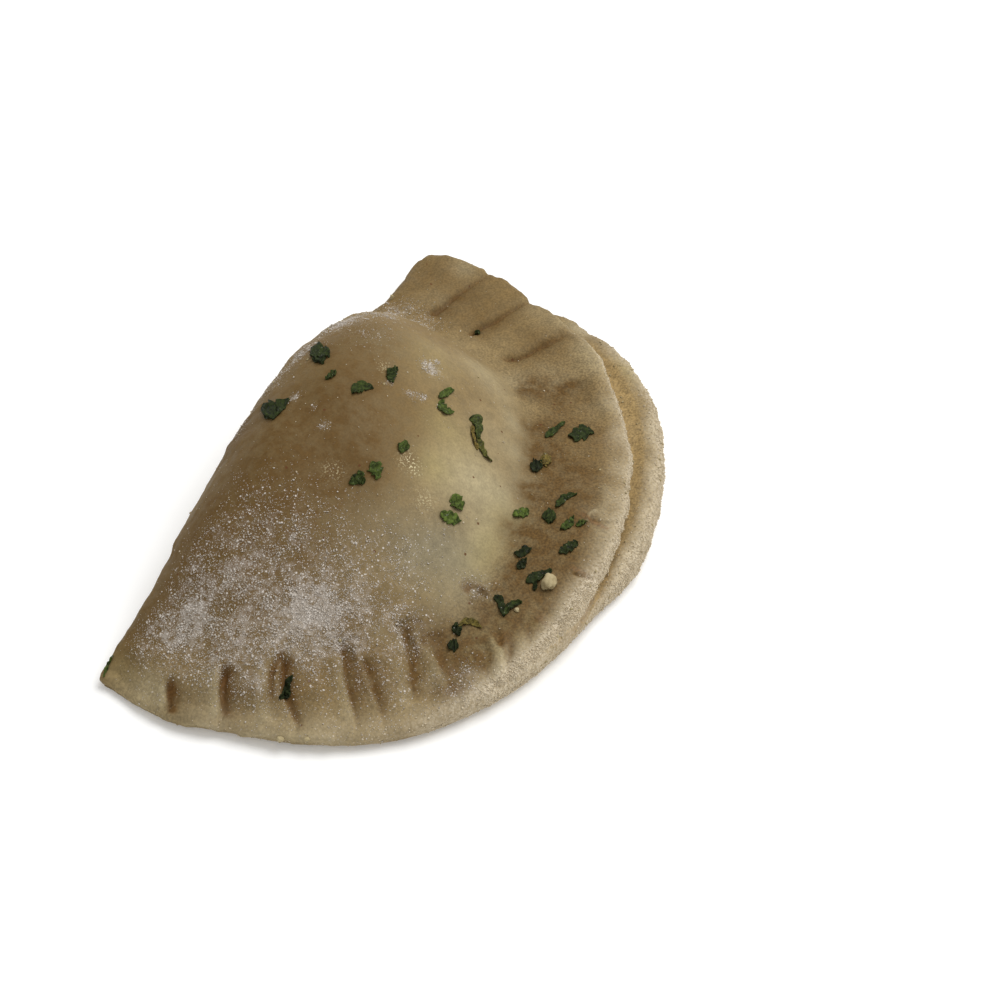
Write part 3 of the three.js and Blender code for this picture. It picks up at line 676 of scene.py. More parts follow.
# ---------------------------------------------------------------------------------------------------
# Making meshes
# ---------------------------------------------------------------------------------------------------
# Smallest and largest grain of each kind, in millimetres
DUST_SIZES, CLUMP_SIZES, RIM_GRAIN_SIZES, SHARD_SIZES = (0.07, 0.17), (0.1, 0.3), (0.1, 0.32), (0.14, 0.42)
SMALL_GRAINS = 2.2  # the higher, the more of the grains are small
GRAIN_UNEVEN = 0.25  # how far a grain's corners stray, as a share of its reach
GRAIN_LIFT = 0.22  # of its size, from the surface to its middle
GRAIN_STRETCH = ((0.7, 1.4), (0.6, 1.1), (0.6, 1))  # least and most along, across and upwards
DRIFT_SEEDS, CRUMB_SEEDS = (11, 12), (31, 32)
# Density all over the dough, also away from the spots
STRAY_FLOUR, STRAY_RIM_GRAINS, STRAY_SHARDS = 0.003, 0.0015, 0.01


def deselect_all():
    for piece in bpy.context.selected_objects:
        piece.select_set(False)


def added(name):
    """The object that an operator has just added, with its name"""
    piece = bpy.context.object
    piece.name = name
    piece.data.name = name
    return piece


def in_edit_mode(*steps):
    """Runs operators of edit mode, each with its settings, on the whole of the active mesh"""
    bpy.ops.object.mode_set(mode="EDIT")
    bpy.ops.mesh.select_all(action="SELECT")
    for operator, settings in steps:
        operator(**settings)
    bpy.ops.object.mode_set(mode="OBJECT")


def joined(context, pieces, name):
    deselect_all()
    for piece in pieces:
        piece.select_set(True)
    context.view_layer.objects.active = pieces[0]
    bpy.ops.object.join()
    return added(name)


def place_vertices(mesh, places):
    """Moves every vertex of a mesh to its place, in metres"""
    mesh.vertices.foreach_set("co", np.ascontiguousarray(places, dtype=np.float32).ravel())
    mesh.update()


def vertex_places(mesh):
    places = np.empty(len(mesh.vertices) * 3, dtype=np.float32)
    mesh.vertices.foreach_get("co", places)
    return places.reshape(-1, 3).astype(float)


def vertex_normals(mesh):
    normals = np.empty(len(mesh.vertices) * 3, dtype=np.float32)
    mesh.vertex_normals.foreach_get("vector", normals)
    return normals.reshape(-1, 3).astype(float)


def write_attribute(mesh, name, values):
    attribute = mesh.attributes.new(name, "FLOAT", "POINT")
    attribute.data.foreach_set("value", np.ascontiguousarray(values, dtype=np.float32))


def surface_of(piece):
    return BVHTree.FromObject(piece, bpy.context.evaluated_depsgraph_get())


def finish_piece(piece, material, smooth=True):
    piece.data.materials.clear()
    piece.data.materials.append(material)
    piece.data.polygons.foreach_set("use_smooth", np.full(len(piece.data.polygons), smooth))
    piece.data.update()
    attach(piece, BODY)


def grain_template(name, subdivisions):
    """Vertices and triangles of a rough pebble one unit wide, from a primitive"""
    deselect_all()
    if subdivisions:
        bpy.ops.mesh.primitive_ico_sphere_add(subdivisions=subdivisions, radius=0.5)
    else:
        bpy.ops.mesh.primitive_uv_sphere_add(segments=4, ring_count=3, radius=0.5)
    pebble = added(name)
    if not subdivisions:  # both rings made one, so that eight faces stay
        places = vertex_places(pebble.data)
        places[np.abs(places[:, 2]) < 0.4, 2] = 0
        place_vertices(pebble.data, places * 1.1)
    in_edit_mode((bpy.ops.mesh.remove_doubles, {"threshold": 0.01}), (bpy.ops.mesh.quads_convert_to_tris, {}))
    places = vertex_places(pebble.data)
    triangles = np.array([list(face.vertices) for face in pebble.data.polygons])
    bpy.data.objects.remove(pebble, do_unlink=True)
    return places, triangles


def scatter_grains(name, surface_mesh, density, count, sizes, subdivisions, seed):
    """One mesh of many small grains that lie on a surface, thicker where the density is higher"""
    rng = np.random.default_rng(seed)
    surface_mesh.calc_loop_triangles()
    corners = np.empty(len(surface_mesh.loop_triangles) * 3, dtype=np.int32)
    surface_mesh.loop_triangles.foreach_get("vertices", corners)
    corners = corners.reshape(-1, 3)
    places = vertex_places(surface_mesh) / MM
    normals = vertex_normals(surface_mesh)
    a, b, c = (places[corners[:, i]] for i in range(3))
    area = np.linalg.norm(np.cross(b - a, c - a), axis=1) / 2
    weight = area * density[corners].mean(1)
    chosen = rng.choice(len(corners), count, p=weight / weight.sum())
    u, v = rng.random(count), rng.random(count)
    u, v = np.where(u + v > 1, 1 - u, u), np.where(u + v > 1, 1 - v, v)
    shares = np.stack([1 - u - v, u, v], 1)
    middle = np.einsum("ij,ijk->ik", shares, places[corners[chosen]])
    normal = np.einsum("ij,ijk->ik", shares, normals[corners[chosen]])
    normal /= np.linalg.norm(normal, axis=1, keepdims=True)
    size = sizes[0] * (sizes[1] / sizes[0]) ** (rng.random(count) ** SMALL_GRAINS)

    template, triangles = grain_template(name, subdivisions)
    seeds = rng.normal(size=(count, 3))
    side = np.cross(normal, seeds)
    side /= np.linalg.norm(side, axis=1, keepdims=True)
    other = np.cross(normal, side)
    stretch = np.stack([rng.uniform(*span, count) for span in GRAIN_STRETCH], 1)
    shaped = template[None] * (1 + GRAIN_UNEVEN * rng.normal(size=(count, len(template), 1))).clip(0.5, 1.6)
    shaped = shaped * stretch[:, None, :] * size[:, None, None]
    local = np.einsum("ijk,ikl->ijl", shaped, np.stack([side, other, normal], 1))
    local += (middle + normal * (size * GRAIN_LIFT)[:, None])[:, None, :]
    local[..., 2] -= np.minimum(local[..., 2].min(1), 0)[:, None]  # none reaches under the flat underside
    faces = triangles[None] + (np.arange(count) * len(template))[:, None, None]
    return build_mesh(name, local.reshape(-1, 3) * MM, faces.reshape(-1, 3))


def build_mesh(name, places, triangles):
    mesh = bpy.data.meshes.new(name)
    mesh.vertices.add(len(places))
    mesh.vertices.foreach_set("co", np.ascontiguousarray(places, dtype=np.float32).ravel())
    mesh.loops.add(len(triangles) * 3)
    mesh.loops.foreach_set("vertex_index", np.ascontiguousarray(triangles, dtype=np.int32).ravel())
    mesh.polygons.add(len(triangles))
    mesh.polygons.foreach_set("loop_start", np.arange(len(triangles), dtype=np.int32) * 3)
    mesh.update(calc_edges=True)
    mesh.validate()
    piece = bpy.data.objects.new(name, mesh)
    bpy.context.scene.collection.objects.link(piece)
    return piece


# ---------------------------------------------------------------------------------------------------
# Finishes
# ---------------------------------------------------------------------------------------------------
# Colour sockets of a Mix node, which shares its names with its number and vector ones
MIX_SHARE, MIX_FIRST, MIX_SECOND, MIX_RESULT = 0, 6, 7, 2


def set_input(tree, made, key, value):
    """Links a node's input to a socket, or sets it to a plain value"""
    if isinstance(value, bpy.types.NodeSocket):
        tree.links.new(value, made.inputs[key])
    else:
        made.inputs[key].default_value = value


def node(tree, kind, inputs=None, **settings):
    made = tree.nodes.new(kind)
    for key, value in settings.items():
        setattr(made, key, value)
    for key, value in (inputs or {}).items():
        set_input(tree, made, key, value)
    return made


def math_node(tree, operation, *values, clamp=False):
    made = node(tree, "ShaderNodeMath", dict(enumerate(values)), operation=operation, use_clamp=clamp)
    return made.outputs[0]


def ramp(tree, value, low, high, to_low=0.0, to_high=1.0):
    inputs = {"Value": value, "From Min": low, "From Max": high, "To Min": to_low, "To Max": to_high}
    return node(tree, "ShaderNodeMapRange", inputs, interpolation_type="SMOOTHSTEP").outputs["Result"]


def blend(tree, share, first, second):
    made = node(tree, "ShaderNodeMix", {MIX_SHARE: share}, data_type="RGBA")
    for socket, value in ((MIX_FIRST, first), (MIX_SECOND, second)):
        set_input(tree, made, socket, value if isinstance(value, bpy.types.NodeSocket) else (*value, 1))
    return made.outputs[MIX_RESULT]


def noise(tree, vector, size, detail=3.0, roughness=0.55):
    inputs = {"Vector": vector, "Scale": 1 / (size * MM), "Detail": detail, "Roughness": roughness}
    return node(tree, "ShaderNodeTexNoise", inputs).outputs["Fac"]


def grains(tree, vector, size, low, high):
    """Packed grains about size across: high in their middle and low in the gaps between them"""
    return ramp(tree, cells(tree, vector, 1 / (size * MM))["Distance"], 0.25, 0.75, high, low)


def new_group(name, inputs, outputs):
    group = bpy.data.node_groups.new(name, "ShaderNodeTree")
    for label, kind, default in inputs:
        socket = group.interface.new_socket(name=label, in_out="INPUT", socket_type=kind)
        if default is not None:
            socket.default_value = default
    for label, kind in outputs:
        group.interface.new_socket(name=label, in_out="OUTPUT", socket_type=kind)
    return group, group.nodes.new("NodeGroupInput").outputs, group.nodes.new("NodeGroupOutput")


def dusting_group():
    """Loose flour on a surface: a mask of fine grains in drifts"""
    name = "flour dusting"
    if name in bpy.data.node_groups:
        return bpy.data.node_groups[name]
    inputs = [
        ("Vector", "NodeSocketVector", None),
        ("Density", "NodeSocketFloat", 0.3),
        ("Grain", "NodeSocketFloat", 0.3),
    ]
    group, given, out = new_group(name, inputs, [("Mask", "NodeSocketFloat"), ("Haze", "NodeSocketFloat")])
    vector, density = given["Vector"], given["Density"]
    drifts = noise(group, vector, 3.2, 4, 0.6)
    patches = noise(group, vector, 0.9, 3, 0.6)
    drifted = ramp(group, drifts, 0.32, 0.68, 0.4, 1.4)
    local = math_node(group, "MULTIPLY", drifted, ramp(group, patches, 0.32, 0.68, 0.5, 1.4))
    amount = math_node(group, "MULTIPLY", density, local)
    amount = math_node(group, "MAXIMUM", amount, ramp(group, density, 0.92, 1.0, 0.0, 1.3))
    mask = None
    for finer, reach in ((1.0, 0.75), (1.9, 0.9)):
        scale = math_node(group, "DIVIDE", 1000.0 * finer, given["Grain"])
        specks = cells(group, vector, scale)
        chance = node(group, "ShaderNodeSeparateColor", {"Color": specks["Color"]})
        wanted = math_node(group, "MULTIPLY", amount, reach)
        left_out = math_node(group, "SUBTRACT", wanted, chance.outputs[0])
        there = math_node(group, "MULTIPLY", left_out, 9.0, clamp=True)
        radius = math_node(group, "MULTIPLY_ADD", chance.outputs[1], 0.3, 0.25)
        speck = math_node(group, "SUBTRACT", radius, specks["Distance"])
        speck = math_node(group, "MULTIPLY", math_node(group, "MULTIPLY", speck, 5.0, clamp=True), there)
        mask = speck if mask is None else math_node(group, "MAXIMUM", mask, speck)
    group.links.new(mask, out.inputs["Mask"])
    heavy = ramp(group, amount, 0.1, 1.3, 0.0, 1.0)
    group.links.new(heavy, out.inputs["Haze"])
    return group


def principled(name):
    material = bpy.data.materials.new(name)
    material.use_nodes = True
    tree = material.node_tree
    tree.nodes.clear()
    shader = tree.nodes.new("ShaderNodeBsdfPrincipled")
    output = tree.nodes.new("ShaderNodeOutputMaterial")
    tree.links.new(shader.outputs[0], output.inputs["Surface"])
    return material, tree, shader


def attribute(tree, name, strength=None):
    """A vertex attribute of the piece, at its own strength unless another is given"""
    share = node(tree, "ShaderNodeAttribute", attribute_name=name).outputs["Fac"]
    return share if strength is None else math_node(tree, "MULTIPLY", share, strength)


def object_vector(tree):
    return node(tree, "ShaderNodeTexCoord").outputs["Object"]


def brightened(tree, colour, value):
    return node(tree, "ShaderNodeHueSaturation", {"Value": value, "Color": colour}).outputs["Color"]


def cells(tree, vector, scale):
    return node(tree, "ShaderNodeTexVoronoi", {"Vector": vector, "Scale": scale}).outputs


def dusting(tree, vector, density, grain):
    """Outputs of the flour dusting, laid at a density and a grain size"""
    made = node(tree, "ShaderNodeGroup", node_tree=dusting_group())
    for name, value in (("Vector", vector), ("Density", density), ("Grain", grain)):
        set_input(tree, made, name, value)
    return made.outputs


def finish_shader(tree, shader, colour, roughness, specular, height, strength, depth):
    """Joins a finish to its shader, with a relief whose depth is in millimetres"""
    tree.links.new(colour, shader.inputs["Base Color"])
    tree.links.new(roughness, shader.inputs["Roughness"])
    shader.inputs["Specular IOR Level"].default_value = specular
    bump = node(tree, "ShaderNodeBump", {"Height": height, "Strength": strength, "Distance": depth * MM})
    tree.links.new(bump.outputs["Normal"], shader.inputs["Normal"])


def dough_material(settings):
    material, tree, shader = principled("raw floured dough")
    vector = object_vector(tree)
    cloudy = noise(tree, vector, 9, 3, 0.5)
    mottled = noise(tree, vector, 1.6, 4, 0.6)
    fine = noise(tree, vector, 0.34, 3, 0.7)

    colour = blend(tree, ramp(tree, cloudy, 0.35, 0.65), settings.dough_colour, settings.dough_second_colour)
    # Pale dry dough, and painted light on the mound's lit side and on ridges
    colour = blend(tree, attribute(tree, "pale", 0.9), colour, settings.pale_and_painted_light_colour)
    colour = blend(tree, attribute(tree, "yellow", 0.8), colour, settings.yellow_colour)
    uneven = ramp(tree, mottled, 0.25, 0.75, 0.55, 1.2)
    # Brown dough, with painted shade in hollows and on the mound's side away from the light
    brown_and_painted_shade = math_node(tree, "MULTIPLY", attribute(tree, "brown_and_painted_shade"), uneven, clamp=True)
    colour = blend(tree, brown_and_painted_shade, colour, settings.brown_and_painted_shade_colour)
    colour = blend(tree, attribute(tree, "groove"), colour, settings.groove_colour)
    # Painted shade deep in the crimps and cracks, and painted shadow under the upper lip
    colour = blend(tree, attribute(tree, "crease_shade", 0.95), colour, settings.crease_shade_colour)
    colour = blend(tree, attribute(tree, "veil", 0.7), colour, settings.veil_colour)
    coarse = attribute(tree, "coarse")
    grain = ramp(tree, fine, 0.3, 0.7, -0.34, 0.34)
    grain = math_node(tree, "MULTIPLY_ADD", grain, math_node(tree, "MULTIPLY_ADD", coarse, 0.7, 0.3), 1.0)
    shade = math_node(tree, "MULTIPLY", grain, ramp(tree, mottled, 0.25, 0.75, 0.87, 1.13))
    value = brightened(tree, colour, shade)

    specks = cells(tree, vector, 1 / (2.6 * MM))
    picked = node(tree, "ShaderNodeSeparateColor", {"Color": specks["Color"]}).outputs[0]
    dot = math_node(tree, "LESS_THAN", specks["Distance"], 0.075)
    dot = math_node(tree, "MULTIPLY", dot, math_node(tree, "GREATER_THAN", picked, 0.6))
    value = blend(tree, math_node(tree, "MULTIPLY", dot, 0.85), value, settings.speck_colour)

    frost = attribute(tree, "frost")
    frost_grain = math_node(tree, "MULTIPLY", frost, grains(tree, vector, 0.42, 0.64, 1.04), clamp=True)
    value = blend(tree, frost_grain, value, settings.frost_colour)

    # Flour at the rim's very edge, and painted light where the edge turns away from the light
    painted_fringe_light = math_node(tree, "MULTIPLY", attribute(tree, "fringe"), grains(tree, vector, 0.36, 0.2, 0.85))
    value = blend(tree, painted_fringe_light, value, settings.fringe_and_painted_light_colour)

    flour = dusting(tree, vector, attribute(tree, "flour"), 0.34)
    for layer, cover in (("Haze", 0.42), ("Mask", 0.8)):
        value = blend(tree, math_node(tree, "MULTIPLY", flour[layer], cover), value, settings.flour_colour)
    # Painted glints where the fat is moist, and a smoother surface there
    moist_and_painted_glint = attribute(tree, "moist_and_painted_glint")
    painted_glint = math_node(tree, "MULTIPLY", ramp(tree, noise(tree, vector, 0.26, 2, 0.6), 0.57, 0.62), moist_and_painted_glint)
    value = blend(tree, painted_glint, value, settings.painted_glint_colour)
    rough = ramp(tree, mottled, 0.2, 0.8, 0.6, 0.74)
    rough = math_node(tree, "MULTIPLY_ADD", flour["Mask"], 0.2, rough)
    rough = math_node(tree, "MULTIPLY_ADD", moist_and_painted_glint, -0.3, rough)

    height = math_node(tree, "MULTIPLY", fine, 0.35)
    pebbled = math_node(tree, "MULTIPLY_ADD", coarse, 0.5, 0.5)
    pebbles = math_node(tree, "MULTIPLY", noise(tree, vector, 0.7, 3, 0.6), pebbled)
    for relief, amount in ((pebbles, 0.8), (frost_grain, 0.4), (flour["Mask"], 0.3)):
        height = math_node(tree, "MULTIPLY_ADD", relief, amount, height)
    finish_shader(tree, shader, value, rough, 0.14, height, 0.7, 0.18)
    return material


def leaf_material(settings):
    material, tree, shader = principled("dried parsley")
    vector = object_vector(tree)
    tint = attribute(tree, "tint")
    veins = noise(tree, vector, 0.55, 4, 0.7)
    colour = blend(tree, ramp(tree, tint, 0.0, 1.0), settings.dark_colour, settings.light_colour)
    colour = blend(tree, attribute(tree, "straw"), colour, settings.straw_colour)
    shade = ramp(tree, veins, 0.32, 0.7, 0.35, 1.9)
    colour = brightened(tree, colour, shade)
    dusted = math_node(tree, "MULTIPLY", dusting(tree, vector, 0.1, 0.25)["Mask"], 0.5)
    colour = blend(tree, dusted, colour, settings.dust_colour)
    finish_shader(tree, shader, colour, ramp(tree, veins, 0.2, 0.8, 0.65, 0.9), 0.12, veins, 0.7, 0.15)
    return material


def crumb_material(name, colour, second, size):
    material, tree, shader = principled(name)
    vector = object_vector(tree)
    patches = noise(tree, vector, size, 3, 0.6)
    value = blend(tree, ramp(tree, patches, 0.3, 0.7), colour, second)
    finish_shader(tree, shader, value, ramp(tree, patches, 0.2, 0.8, 0.6, 0.9), 0.4, patches, 0.4, 0.1)
    return material


# ---------------------------------------------------------------------------------------------------
# Sizes and colours that a user would change
# ---------------------------------------------------------------------------------------------------
def colour_property(name, description, default):
    return FloatVectorProperty(
        name=name, description=description, default=default, size=3, min=0, max=1, subtype="COLOR"
    )


class DoughSettings(bpy.types.PropertyGroup):
    dough_colour: colour_property("Dough", "Colour of the plain dough", (0.198, 0.1325, 0.052))
    dough_second_colour: colour_property(
        "Dough, second", "Colour that clouds the plain dough", (0.226, 0.158, 0.068)
    )
    # Thick, dry dough, and painted light on the mound's lit side and on ridges
    pale_and_painted_light_colour: colour_property("Pale", "Where the dough is thick and dry", (0.436, 0.374, 0.228))
    # Bare or thin dough, and painted shade in hollows and on the mound's side away from the light
    brown_and_painted_shade_colour: colour_property(
        "Brown", "Where the dough is thin or bare of flour", (0.105, 0.0588, 0.0163)
    )
    # Painted shade deep in the crimps and cracks, and painted shadow under the upper lip
    crease_shade_colour: colour_property("Crease", "Deep in the crimps and cracks", (0.145, 0.07, 0.021))
    yellow_colour: colour_property("Yellow", "Where the filling's fat shows", (0.37, 0.3, 0.12))
    groove_colour: colour_property("Groove", "Colour down in the open seam", (0.33, 0.226, 0.094))
    veil_colour: colour_property("Veil", "Where the dough is thin over dark filling", (0.24, 0.215, 0.145))
    frost_colour: colour_property("Frost", "Fine flour rubbed into the rim", (0.52, 0.435, 0.29))
    # Flour at the rim's edge, made brighter as painted light where the edge turns away from the light
    fringe_and_painted_light_colour: colour_property("Fringe", "Flour at the very edge of the rim", (0.8, 0.71, 0.56))
    flour_colour: colour_property("Flour", "Loose flour", (0.68, 0.63, 0.575))
    speck_colour: colour_property("Specks", "Specks of bran", (0.1, 0.036, 0.01))
    # Painted glints where fat would glisten
    painted_glint_colour: colour_property("Glints", "Where fat glistens", (0.75, 0.66, 0.4))
    lump_height: FloatProperty(
        name="Lumps", description="Height of the dough's small lumps", default=0.2 * MM, min=0, unit="LENGTH"
    )


class ParsleySettings(bpy.types.PropertyGroup):
    dark_colour: colour_property("Dark green", "Darkest leaves", (0.012, 0.0165, 0.0048))
    light_colour: colour_property("Light green", "Lightest leaves", (0.062, 0.088, 0.016))
    straw_colour: colour_property("Straw", "Yellowed leaves and stalks", (0.15, 0.1, 0.026))
    dust_colour: colour_property("Dust", "Flour on the leaves", (0.36, 0.34, 0.3))
    thickness: FloatProperty(
        name="Thickness", description="Thickness of a leaf", default=0.13 * MM, min=0.02 * MM, unit="LENGTH"
    )
    curl: FloatProperty(
        name="Curl", description="How far a leaf's edge stands up", default=0.38 * MM, min=0, unit="LENGTH"
    )


class FlourSettings(bpy.types.PropertyGroup):
    colour: colour_property("Colour", "Flour grains", (0.6, 0.55, 0.49))
    second_colour: colour_property("Second colour", "Flour grains, shaded", (0.42, 0.365, 0.3))
    rim_colour: colour_property("Rim colour", "Grains on the rim", (0.64, 0.55, 0.4))
    rim_second_colour: colour_property("Rim, second", "Grains on the rim, shaded", (0.5, 0.415, 0.28))
    dust_grains: IntProperty(
        name="Dust", description="Grains of loose flour", default=21000, min=100, max=24000
    )
    clump_grains: IntProperty(
        name="Clumps", description="Clumps of loose flour", default=5200, min=10, max=9900
    )
    rim_grains: IntProperty(
        name="Rim", description="Grains stuck to the rim", default=15000, min=100, max=24000
    )
    seed: IntProperty(name="Seed", description="Order of the grains", default=7, min=0)


class CrumbSettings(bpy.types.PropertyGroup):
    colour: colour_property("Colour", "Crumbs of dough", (0.41, 0.335, 0.18))
    second_colour: colour_property("Second colour", "Crumbs of dough, shaded", (0.34, 0.27, 0.14))


class StageSettings(bpy.types.PropertyGroup):
    floor_colour: colour_property("Floor", "Colour of the floor", (0.9, 0.9, 0.89))
    floor_glow: FloatProperty(name="Floor glow", description="Light of the floor itself", default=0.14, min=0)
    key_power: FloatProperty(
        name="Key light", description="Power of the main light", default=5.4, min=0, unit="POWER"
    )
    fill_strength: FloatProperty(
        name="Fill", description="Strength of the light all round", default=0.58, min=0
    )


# ---------------------------------------------------------------------------------------------------
# Pieces
# ---------------------------------------------------------------------------------------------------
def dough_lumps(points, normals, edge, height):
    """How far each point of the dough stands out for its lumps, in millimetres"""
    broad, middle, small = (swell(points, size, seed) for size, seed in ((5.5, 1), (1.9, 2), (0.85, 3)))
    amount = 1.5 * broad + 0.8 * middle * (1 + edge) + 0.35 * small * (1 + 1.2 * edge)
    return amount * height / MM * ease(normals[:, 2], -0.7, -0.2)


def rim_walk(places):
    """Plan places from the middle of the fold, how far out they are, and their share of the rim walk"""
    plan = places[:, :2] - FOLD_MIDDLE
    return plan, np.hypot(*plan.T), rim_share(*plan.T)


def dough_mesh():
    """The dough from a sphere's rings and columns, with each vertex's ring and place in millimetres"""
    grid = dough_grid()
    columns, points, _ = grid.shape
    rings = points - 1
    deselect_all()
    bpy.ops.mesh.primitive_uv_sphere_add(segments=columns, ring_count=rings, radius=1)
    dough = added("dough")
    ball = vertex_places(dough.data)
    ring = np.rint(np.arccos(np.clip(ball[:, 2], -1, 1)) / np.pi * rings).astype(int)
    column = np.rint(np.arctan2(ball[:, 1], ball[:, 0]) / (2 * np.pi) * columns).astype(int) % columns
    column[(ring == 0) | (ring == rings)] = 0
    places = grid[column, ring]
    places[:, :2] += FOLD_MIDDLE
    place_vertices(dough.data, places * MM)
    return dough, ring, places


def push_out(piece, places, height):
    """Moves a piece's vertices along their normals, none below the flat underside"""
    places += vertex_normals(piece.data) * height[:, None]
    places[:, 2] = np.maximum(places[:, 2], 0)
    place_vertices(piece.data, places * MM)


def roughness(plan, out, share):
    """How much rougher than the mound: the rim's edge, the fold and its right end, and the mound's foot"""
    on_rim = ease(out, upper_leaf_at(share) - 4, upper_leaf_at(share) - 1) * (plan[:, 1] < -0.5)
    edge = on_rim * ease(share, 0.3, 0.5)
    fold_end = bell((plan[:, 0] - 22) / 14) * ease(plan[:, 1], -9, -1)
    by_foot = ease(out, mound_foot_at(share) - 2, mound_foot_at(share) + 2)
    return edge + 1.6 * fold_end + 1.5 * ease(plan[:, 1], -4, 2) + 0.5 * by_foot


def seam_masks(ring, share, on_rim):
    """How deep in the open seam each vertex is, and the painted shadow close under the upper lip"""
    start, end = SEAM_ROWS_SPAN
    in_seam = ease(ring, start - 2, start + 2) * (1 - ease(ring, end - 2, end + 2))
    groove = in_seam * on_rim * ease(share, 0.2, 0.5)
    # Painted shadow close under the upper lip
    shadow_under_lip = bell((ring - TOP_ROWS - NOSE_ROWS - 1.5) / 1.7) * on_rim
    shadow_under_lip = shadow_under_lip * ease(share, 0.33, 0.42) * (1 - 0.35 * ease(share, 0.5, 0.6))
    return groove, shadow_under_lip * (1 - ease(share, 0.74, 0.84))


def floury_edge_and_painted_light(places, plan, out, share, ring, groove):
    """Flour at the very edge of both leaves, also used as painted light where the edge turns away from the
    light
    """
    start, end = SEAM_ROWS_SPAN
    upper, parted = upper_leaf_at(share), ease(share, *LEAVES_PART)
    rim_edge = np.where(ring > end, lower_leaf_at(share), upper)
    fringe = bell(np.maximum(rim_edge - out - 0.3, 0) / 1.3) * ease(places[:, 2], 0.1, 0.7)
    fringe = fringe * np.where(ring > end, 0.5, 1 - 0.85 * parted) * (1 - groove)
    crest = 0.65 * bell((upper - out) / 0.6) * (ring < start) * parted
    fringe = np.maximum(fringe, crest)
    return fringe * ease(share, 0.2, 0.36) * (1 - ease(share, *RIGHT_CORNER)) * (plan[:, 1] < 0)


def dough_finishes(places, walk, ring, tint, surface):
    """Strength of each finish at each vertex, by the name of its attribute"""
    plan, out, share = walk
    top = 1 - ease(ring, TOP_ROWS + 3, TOP_ROWS + 9)
    # Painted shade deep in the crimps' crevices and in the cracks
    _, shade, pit_shade = crimps(*plan.T)
    pit_shade = np.maximum(pit_shade, 1.2 * np.clip(cracks(*plan.T), 0, 1))
    shade, pit_shade, bowls = shade * top, np.clip(pit_shade, 0, 1) * top, dents(*plan.T)[1] * top
    band = pressed_band(out, share) * top
    groove, shadow_under_lip = seam_masks(ring, share, plan[:, 1] < -0.3)
    fringe = floury_edge_and_painted_light(places, plan, out, share, ring, groove)
    corner = ease(share, *RIGHT_CORNER)
    # Spots of brown dough and of painted shade
    bare = spread(places, BROWN_AND_PAINTED_SHADE_SPOTS, surface)
    inner = 1 - 0.65 * ease(upper_leaf_at(share) - out, 2.2, 4.6) * (share < 0.46)
    frost = spread(places, FROST_SPOTS, surface) * inner * (1 - 0.7 * np.maximum(band, bowls))
    frost = frost * (1 - 0.6 * bare)
    # Painted shade on the crimps' sides is added to the brown
    brown_and_painted_shade = bare * (1 + 0.6 * np.minimum(tint, 0)) + 0.75 * shade**0.8 * lerp(1, 0.7, corner)
    coarse = ease(out, mound_foot_at(share) - 3, mound_foot_at(share) + 2) * (plan[:, 1] < 0)
    return {
        "flour": spread(places, FLOUR_SPOTS, surface) * (1 - 0.8 * pit_shade) * (1 - 0.65 * shade) + STRAY_FLOUR,
        # The fringe's share brings its painted light into the frost
        "frost": np.clip(frost + 0.5 * fringe - 0.7 * np.maximum(tint, 0), 0, 1) * (1 - 0.9 * groove),
        # Flour at the rim's very edge, with painted light where the edge turns away from the light
        "fringe": fringe,
        # Brown dough, with painted shade in the pressed band, the thumb dents, the crevices and the wrinkles'
        # hollows
        "brown_and_painted_shade": np.clip(brown_and_painted_shade + 0.15 * band + 0.4 * bowls + 0.5 * pit_shade + np.maximum(tint, 0), 0, 1),
        # Painted shade in the crevices and painted shadow under the upper lip
        "crease_shade": np.maximum(pit_shade, 0.6 * shadow_under_lip),
        # Pale dough, with painted light on the wrinkles' ridges
        "pale": np.clip(spread(places, PALE_AND_PAINTED_LIGHT_SPOTS, surface) + 0.6 * np.maximum(-tint, 0), 0, 1),
        "yellow": spread(places, YELLOW_SPOTS, surface),
        "veil": spread(places, VEIL_SPOTS, surface),
        # Moist spots: smoother dough, with painted glints
        "moist_and_painted_glint": spread(places, MOIST_AND_GLINT_SPOTS, surface),
        "groove": groove,
        "coarse": coarse * lerp(0.45, 1, ease(share, 0.2, 0.4)) * lerp(1, 0.5, corner),
    }


class EMPANADA_OT_dough(bpy.types.Operator):
    """Builds the folded dough with its crimped rim"""

    bl_idname = "empanada.dough"
    bl_label = "Dough"
    bl_options = {"REGISTER", "UNDO"}

    def execute(self, context):
        settings = context.scene.empanada_dough
        dough, ring, places = dough_mesh()
        walk = rim_walk(places)
        normals = vertex_normals(dough.data)
        push_out(dough, places, dough_lumps(places, normals, roughness(*walk), settings.lump_height))
        surface = surface_of(dough)
        # The wrinkles' painted shading: brown shade in their hollows, pale painted light on their ridges
        height, tint = wrinkles(places, surface)
        push_out(dough, places, height)
        for name, values in dough_finishes(places, walk, ring, tint, surface).items():
            write_attribute(dough.data, name, values)
        finish_piece(dough, dough_material(settings))
        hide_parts(NODE)
        return {"FINISHED"}


